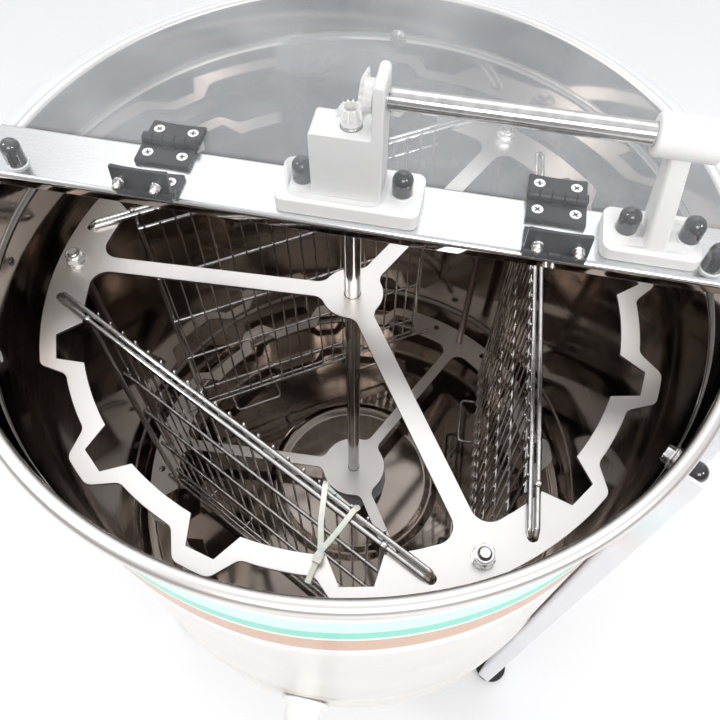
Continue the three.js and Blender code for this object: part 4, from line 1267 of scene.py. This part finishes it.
def bearing_block():
    """The base plate, a post that narrows and leans, and the round head that holds the shaft."""
    base = slab(rounded_rectangle(200, -23, 276, 23, 8, 8), BLOCK_BASE, BLOCK_TOP, 1.5,
                [circle(x, 0, BOLT_HOLE_RADIUS, 24) for x in BLOCK_BOLTS.values()])
    sections = ((230, 248, 21, BLOCK_TOP - 2), (231, 247, 20, BLOCK_TOP + 2),
                (219.5, 234.5, 8, DRIVE))
    post = loft([
        [(x, y, z) for x, y in rounded_rectangle(left, -half, right, half, 3)]
        for left, right, half, z in sections
    ])
    head = placed(rod(BLOCK_HEAD_RADIUS, 208, 252, 2.4, 64), at(z=DRIVE + GAP) @ ALONG_X)
    bore = placed(rod(SHAFT_RADIUS + 0.5, 190, 290, 0.2), at(z=DRIVE) @ ALONG_X)
    grease_hole = placed(rod(2.6, 0, 30, 0.2, 24), at(236, 0, DRIVE + 12))
    stand_in("bearing_block", base, post, head, cutters=[bore, grease_hole])


bearing_block()
for side, x in BLOCK_BOLTS.items():
    cap_bolt(f"bearing_bolt_{side}", x, 0, BLOCK_TOP + GAP, BRIDGE_TOP - 8)

# ---- crank -------------------------------------------------------------------------------

ARM_X = 346.0
ARM_SHEET = 8.0
ARM_LENGTH = 160.0
GRIP_LENGTH = 100.0


def crank():
    along = at(z=DRIVE) @ ALONG_X
    shaft = filleted([
        (0, 9.5), (5, 9.5, 0.5), (5, 17.5, 0.3), (8, 17.5, 0.7),
        (8, ARM_X - GAP, 0.7), (5, ARM_X - GAP, 0.3),
        (5, ARM_X + ARM_SHEET + 6, 0.8), (0, ARM_X + ARM_SHEET + 6),
    ], 4, closed=False)
    stand_in("crank_shaft", placed(lathe(shaft, 64), along))
    end_nut = placed(nut(15, 5, 5.2), at(ARM_X + ARM_SHEET + 0.2, 0, DRIVE) @ ALONG_X)
    extra("crank_nut", "satin_steel", "crank", end_nut, finish=BRUSHED)
    low = DRIVE - ARM_LENGTH
    outline = filleted([
        (-11, DRIVE - 8, 8), *[(y, z) for y, z in arc((0, DRIVE), 15, 222, -42, 20)], (11, DRIVE - 8, 8),
        (11, low + 8, 8), *[(y, z) for y, z in arc((0, low), 15, 42, -222, 20)], (-11, low + 8, 8),
    ], 4)
    holes = [circle(0, z, 5.3, 28) for z in (DRIVE, low)]
    arm = placed(slab(outline, ARM_X, ARM_X + ARM_SHEET, 1.2, holes), UPRIGHT_YZ)
    stand_in("crank_arm", arm, finish=BRUSHED)
    start = ARM_X + ARM_SHEET + GAP
    handle = at(z=low) @ ALONG_X
    grip = filleted([
        (5.5, start, 0.4), (13, start, 1.5), (15, start + 6, 4), (13.6, start + 30, 30),
        (16, start + 60, 30), (16.5, start + 82, 10),
        (13, start + GRIP_LENGTH, 4), (5.5, start + GRIP_LENGTH, 0.4),
    ], 6)
    stand_in("handle_grip", placed(lathe(grip, 72, closed=True), handle))
    end = start + GRIP_LENGTH + GAP
    bolt = filleted([
        (0, ARM_X - 4), (5, ARM_X - 4, 0.6), (5, end + 0.3, 0.2),
        (8.5, end + 0.3, 0.6), (8.5, end + 3.6, 1.8), (3.4, end + 5, 0.4),
        (3.1, end + 2.2, 0.2), (0, end + 2.2),
    ], 4, closed=False)
    stand_in("handle_bolt", placed(lathe(bolt, 48), handle))


crank()

# ---- hinges and lids ---------------------------------------------------------------------

PIN_Y = 30.0
PIN_RISE = 5.8
PIN_HEIGHT = BRIDGE_TOP + PIN_RISE
HINGE_X = 165.0
HINGE_HALF = 24.0
KNUCKLE = 5.4
LEAF_REACH = 25.5
LEAF_FOOT = -PIN_RISE + GAP
LID_RADIUS = 324.0
LID = 4.0
LID_TILT = 1.6
FRONT_LID_OPEN = 95.0
SCREW_X = 15.25
SCREW_Y = 15.0
REAR_LID = at(0, PIN_Y, PIN_HEIGHT) @ turn(-LID_TILT, "X")
FRONT_LID = at(0, -PIN_Y, PIN_HEIGHT) @ turn(-FRONT_LID_OPEN, "X") @ turn(180, "Z")


def leaf_plate(sign):
    """A leaf that dips like a saddle between its two screws, as a grid of points closed below."""
    across, along = 24, 12
    near = sign * (KNUCKLE + 0.6)
    far = sign * LEAF_REACH

    def rise(x, y):
        side = min(1.0, (HINGE_HALF - abs(x)) / 1.2)
        tip = min(1.0, abs(y - far) / 1.2)
        return 3.5 + 1.3 * (x / HINGE_HALF) ** 2 - 0.9 * (1 - side) ** 2 - 0.9 * (1 - tip) ** 2

    xs = [-HINGE_HALF, -HINGE_HALF + 0.35, -HINGE_HALF + 1.2]
    xs += [HINGE_HALF * (2 * k / across - 1) for k in range(2, across - 1)]
    xs += [HINGE_HALF - 1.2, HINGE_HALF - 0.35, HINGE_HALF]
    ys = [near + (far - near) * k / along for k in range(along)] + [far - sign * 0.35, far]
    top = [[(x, y, LEAF_FOOT + rise(x, y)) for x in xs] for y in ys]
    bottom = [[(x, y, LEAF_FOOT) for x in xs] for y in ys]
    columns, rows = len(xs), len(ys)
    vertices = [v for row in top for v in row] + [v for row in bottom for v in row]
    below = columns * rows
    faces = []
    for r in range(rows - 1):
        for c in range(columns - 1):
            a = r * columns + c
            faces.append((a, a + 1, a + columns + 1, a + columns))
            faces.append(tuple(below + i for i in (a, a + columns, a + columns + 1, a + 1)))
    rim = [c for c in range(columns)] + [r * columns + columns - 1 for r in range(1, rows)]
    rim += [(rows - 1) * columns + c for c in range(columns - 2, -1, -1)]
    rim += [r * columns for r in range(rows - 2, 0, -1)]
    for a, b in zip(rim, rim[1:] + rim[:1]):
        faces.append((a, b, below + b, below + a))
    return vertices, faces


def knuckle(start, end, sign):
    barrel = placed(rod(KNUCKLE, start, end, 0.7, 40), ALONG_X)
    reach = sign * 8
    web = block((start, min(0, reach), LEAF_FOOT), (end, max(0, reach), -1), 0.4)
    return [barrel, web]


def moving_knuckle(start, end):
    """A knuckle of the lid's leaf: it turns on the pin, so it is bored."""
    barrel = placed(ring(2.9, KNUCKLE, start, end, 0.6, 40), ALONG_X)
    web = block((start, 3.6, LEAF_FOOT), (end, 8, -1.4), 0.4)
    return [barrel, web]


def rotated(point, quarters):
    """A point turned about the origin by quarter turns."""
    x, y = point
    for _ in range(quarters):
        x, y = -y, x
    return x, y


def countersunk(x, y, angle):
    """A cross-recessed countersunk screw: its head stands a little proud of the leaf."""
    cone = lathe([(0, -3.5), (2.4, -3.5), (2.4, 0.9), (4.9, 3.3), (0, 3.3)], 40)
    corners = ((2.7, -0.6), (2.7, 0.6), (0.6, 0.6))
    cross = [rotated(corner, quarter) for quarter in range(4) for corner in corners]
    face = slab(circle(0, 0, 4.9, 40), 3.3, 4.75, 0.35, [cross])
    place = at(x, y, LEAF_FOOT) @ turn(angle, "Z")
    return [placed(cone, place), placed(face, place)]


def acorn(place):
    """A domed nut and washer on a lid screw's end."""
    steps = ((0.9, 0.0), (1.0, 0.5), (1.0, 3.2), (0.92, 3.8))
    body = loft([hexagon_ring(8, z, share) for share, z in steps])
    dome = lathe(filleted([(0, 3.2), (3.5, 3.2), (3.5, 5.2, 0.5)], 2, closed=False)
                 + arc((0, 5.0), 3.45, 5, 88, 10) + [(0, 8.45)], 32)
    washer = ring(2.7, 5.0, -1.0, 0.0, 0.25, 36)
    return [placed(shell, place) for shell in (body, dome, washer)]


def hinge(end, side, x, rng):
    """One hinge: the leaf on the bridge with the pin, the leaf on the lid, and their screws."""
    rear = end == "rear"
    base_place = at(x, PIN_Y if rear else -PIN_Y, PIN_HEIGHT) @ turn(0 if rear else 180, "Z")
    lid_body = f"{end}_lid"
    lid_place = (REAR_LID if rear else FRONT_LID) @ at(x if rear else -x)
    fixed = [leaf_plate(-1)]
    for start, stop in ((-HINGE_HALF, -15), (-5, 5), (15, HINGE_HALF)):
        fixed += knuckle(start, stop, -1)
    name = f"hinge_{end}_{side}"
    stand_in(f"{name}_base", *[placed(s, base_place) for s in fixed])
    moving = [leaf_plate(1)]
    for start, stop in ((-15 + GAP, -5 - GAP), (5 + GAP, 15 - GAP)):
        moving += moving_knuckle(start, stop)
    stand_in(f"{name}_leaf", *[placed(s, lid_place) for s in moving])
    pin = placed(rod(2.4, -HINGE_HALF - 0.9, HINGE_HALF + 0.9, 0.6, 32), ALONG_X)
    extra(f"{name}_pin", "hinge_plastic", "drum", placed(pin, base_place))
    leaves = (("base", base_place, "drum", -1), ("leaf", lid_place, lid_body, 1))
    for part, place, body, sign in leaves:
        heads, nuts = [], []
        for screw_x in (-SCREW_X, SCREW_X):
            spin = rng.uniform(0, 90)
            heads += [placed(s, place) for s in countersunk(screw_x, sign * SCREW_Y, spin)]
            if part == "leaf":
                under = place @ at(screw_x, sign * SCREW_Y, -PIN_RISE - LID) @ turn(180, "X")
                nuts += acorn(under @ turn(spin, "Z") @ at(z=1.0))
        extra(f"{name}_{part}_screws", "satin_steel", body, *heads, finish=BRUSHED)
        if nuts:
            extra(f"{name}_nuts", "satin_steel", body, *nuts, finish=BRUSHED)


def lid(end, place, finish=None):
    straight = BRIDGE_HALF_WIDTH + 1.6
    side = math.degrees(math.asin(straight / LID_RADIUS))
    outline = arc((0, 0), LID_RADIUS, side, 180 - side, 120)
    low = -PIN_RISE - LID
    shell = slab(outline, low, low + LID, 0.5)
    stand_in(f"lid_{end}", placed(shell, place @ at(0, -PIN_Y)), finish=finish)


lid("rear", REAR_LID, VEILED)
lid("front", FRONT_LID)
screw_angles = random.Random(7)
for end in ("rear", "front"):
    for side, x in (("left", -HINGE_X), ("right", HINGE_X)):
        hinge(end, side, x, screw_angles)

# ---- bottom bearing and honey gate -------------------------------------------------------

GATE_BORE = 19.0
GATE_STUD = 38.0
GATE_PLATE = -372.0
GATE_FLANGE_RADIUS = 32.0
GATE_DISC_RADIUS = 24.0


def bottom_bearing():
    base = FLOOR_TOP + GAP
    profile = filleted([
        (0, base), (48, base, 0.5), (48, base + 4, 1.5), (18.5, base + 6, 3), (15, base + 24, 1.2),
        (8.5, base + 24, 0.6), (8.5, base + 8, 0.4), (0, base + 8),
    ], 4, closed=False)
    stand_in("bottom_bearing", lathe(profile, 72))


def gate():
    bore = placed(rod(GATE_BORE, 290, 400, 0.2, 64), at(z=GATE_HEIGHT) @ ALONG_MINUS_Y)
    pipe = rod(GATE_BORE + 4, DRUM_RADIUS - 4, -GATE_PLATE + 1, 0.8, 64)
    flange_start = DRUM_RADIUS + SHEET + GAP + 1
    flange = loft([
        [(*polar(GATE_FLANGE_RADIUS - pull, 15 * k), z) for k in range(24)]
        for pull, z in zip((1, 0, 0, 1), (flange_start + rise for rise in (0, 1, 5, 6)))
    ])
    half = GATE_STUD + 10
    plate = slab(rounded_rectangle(-half, -27, half, 27, 10, 8), -GATE_PLATE, -GATE_PLATE + 6, 1.0)
    stud = rod(4, -GATE_PLATE + 3, -GATE_PLATE + 24, 0.7, 32)
    studs = [placed(stud, at(x)) for x in (-GATE_STUD, GATE_STUD)]
    head = placed(rod(8, 12 - GATE_PLATE + 2 * GAP, 17 - GATE_PLATE + 2 * GAP, 1.2, 40), at(-GATE_STUD))
    place = at(z=GATE_HEIGHT) @ ALONG_MINUS_Y
    body = [placed(shell, place) for shell in (pipe, flange, plate, *studs, head)]
    stand_in("gate_body", *body, cutters=[bore])
    flap_start = -GATE_PLATE + 6 + GAP
    flap_shape = filleted([
        (-10, -9, 8), (10, -11, 8),
        *[(x, y, 0) for x, y in arc((GATE_STUD, 0), GATE_DISC_RADIUS, 215, 325, 14)],
        (66, -10, 6), (69.5, -10, 1), (69.5, 4, 5), (82.5, 4, 3),
        (86.5, -8, 3), (87, 34, 4), (79.5, 34, 4), (76, 14, 8), (66, 11, 6),
        *[(x, y, 0) for x, y in arc((GATE_STUD, 0), GATE_DISC_RADIUS, 35, 145, 14)],
        (10, 11, 8), (-10, 9, 8),
    ], 4)
    pivot = circle(0, 0, 4.5, 28)
    flap = placed(slab(flap_shape, flap_start, flap_start + 6, 0.9, [pivot]), place @ at(-GATE_STUD))
    stand_in("gate_flap", flap)
    knob_start = flap_start + 6 + GAP
    lobes = [polar(10.5 + 2 * math.cos(math.radians(5 * a)), a) for a in range(0, 360, 4)]
    knob = slab(lobes, knob_start, knob_start + 11, 1.6, [circle(0, 0, 4.4, 28)])
    stand_in("gate_knob", placed(knob, place @ at(GATE_STUD)))


bottom_bearing()
gate()
spot = turn(-169.5, "Z") @ at(DRUM_RADIUS - 0.2, 0, -68) @ turn(-90, "Y")
extra("wall_rivet", "black_plastic", "drum", placed(cap(5, 2.4 + 5), spot @ at(z=-5)))

# ---- floor, light and camera -------------------------------------------------------------

FLOOR_HALF_WIDTH = 6000.0
WORLD_LEAN = (0.0, 0.45, 0.89)
WORLD_DIM = (0.34, 0.33, 0.33)
WORLD_BRIGHT = (0.86, 0.87, 0.89)
CAMERA = Vector((85.9, -411.6, 454.9))
CAMERA_TARGET = Vector((22.1, -73.9, -109.0))
CAMERA_ROLL = 0.55
LENS = 36.0


def floor_look():
    look = Look("floor_paper")
    cloud = look.noise(1.5, 3)
    fibre = look.noise(500, 3)
    look.colour(look.ramp(cloud, (0.3, (0.90, 0.90, 0.90)), (0.7, (0.93, 0.93, 0.93))))
    return look.rough(cloud, 0.6, 0.75).bump(fibre, 0.00005, 0.2).made


def make_floor():
    low = GROUND - 12.0
    disc = slab(circle(0, 0, FLOOR_HALF_WIDTH, 96), low, GROUND, 1.0)
    sheet = new_object("floor", Solid(disc), floor_look())


def area_light(name, place, target, size, watts, colour=(1, 1, 1)):
    data = bpy.data.lights.new(name, "AREA")
    data.shape = "RECTANGLE"
    data.size, data.size_y = size
    data.energy = watts
    data.color = colour
    lamp = bpy.data.objects.new(name, data)
    bpy.context.scene.collection.objects.link(lamp)
    lamp.location = ORIGIN + Vector(place)
    aim = Vector(target) - Vector(place)
    lamp.rotation_euler = aim.to_track_quat("-Z", "Y").to_euler()


def make_world():
    """A pale room: bright overhead and behind the object, dim behind the viewer."""
    world = bpy.data.worlds.new("studio")
    bpy.context.scene.world = world
    world.use_nodes = True
    nodes, links = world.node_tree.nodes, world.node_tree.links
    direction = nodes.new("ShaderNodeTexCoord")
    lean = nodes.new("ShaderNodeVectorMath")
    lean.operation = "DOT_PRODUCT"
    lean.inputs[1].default_value = WORLD_LEAN
    links.new(direction.outputs["Generated"], lean.inputs[0])
    shade = nodes.new("ShaderNodeValToRGB")
    stops = shade.color_ramp.elements
    stops[0].position, stops[0].color = 0.0, (*WORLD_DIM, 1)
    stops[1].position, stops[1].color = 0.75, (*WORLD_BRIGHT, 1)
    links.new(lean.outputs["Value"], shade.inputs["Fac"])
    links.new(shade.outputs["Color"], nodes["Background"].inputs["Color"])


def make_camera():
    data = bpy.data.cameras.new("camera")
    data.lens = LENS
    data.sensor_width = LENS
    data.clip_start = 0.01
    data.clip_end = 50.0
    camera = bpy.data.objects.new("camera", data)
    bpy.context.scene.collection.objects.link(camera)
    camera.location = ROW @ CAMERA
    aim = (CAMERA_TARGET - CAMERA).to_track_quat("-Z", "Y").to_matrix().to_4x4()
    camera.rotation_euler = (aim @ turn(CAMERA_ROLL, "Z")).to_euler()
    bpy.context.scene.camera = camera


make_floor()
make_world()
area_light("softbox", (-0.3, 1.5, 2.3), (0, 0, 0), (2.6, 2.2), 16)
area_light("front_fill", (0.5, -2.4, 1.9), (0, 0, -0.2), (1.6, 1.2), 42)
area_light("left_lamp", (-1.7, -0.5, 1.5), (0, 0, -0.2), (0.3, 0.4), 14)
area_light("right_lamp", (1.6, -0.9, 1.3), (0, 0, -0.3), (0.3, 0.4), 12)
make_camera()
bpy.context.scene.view_settings.view_transform = "Standard"
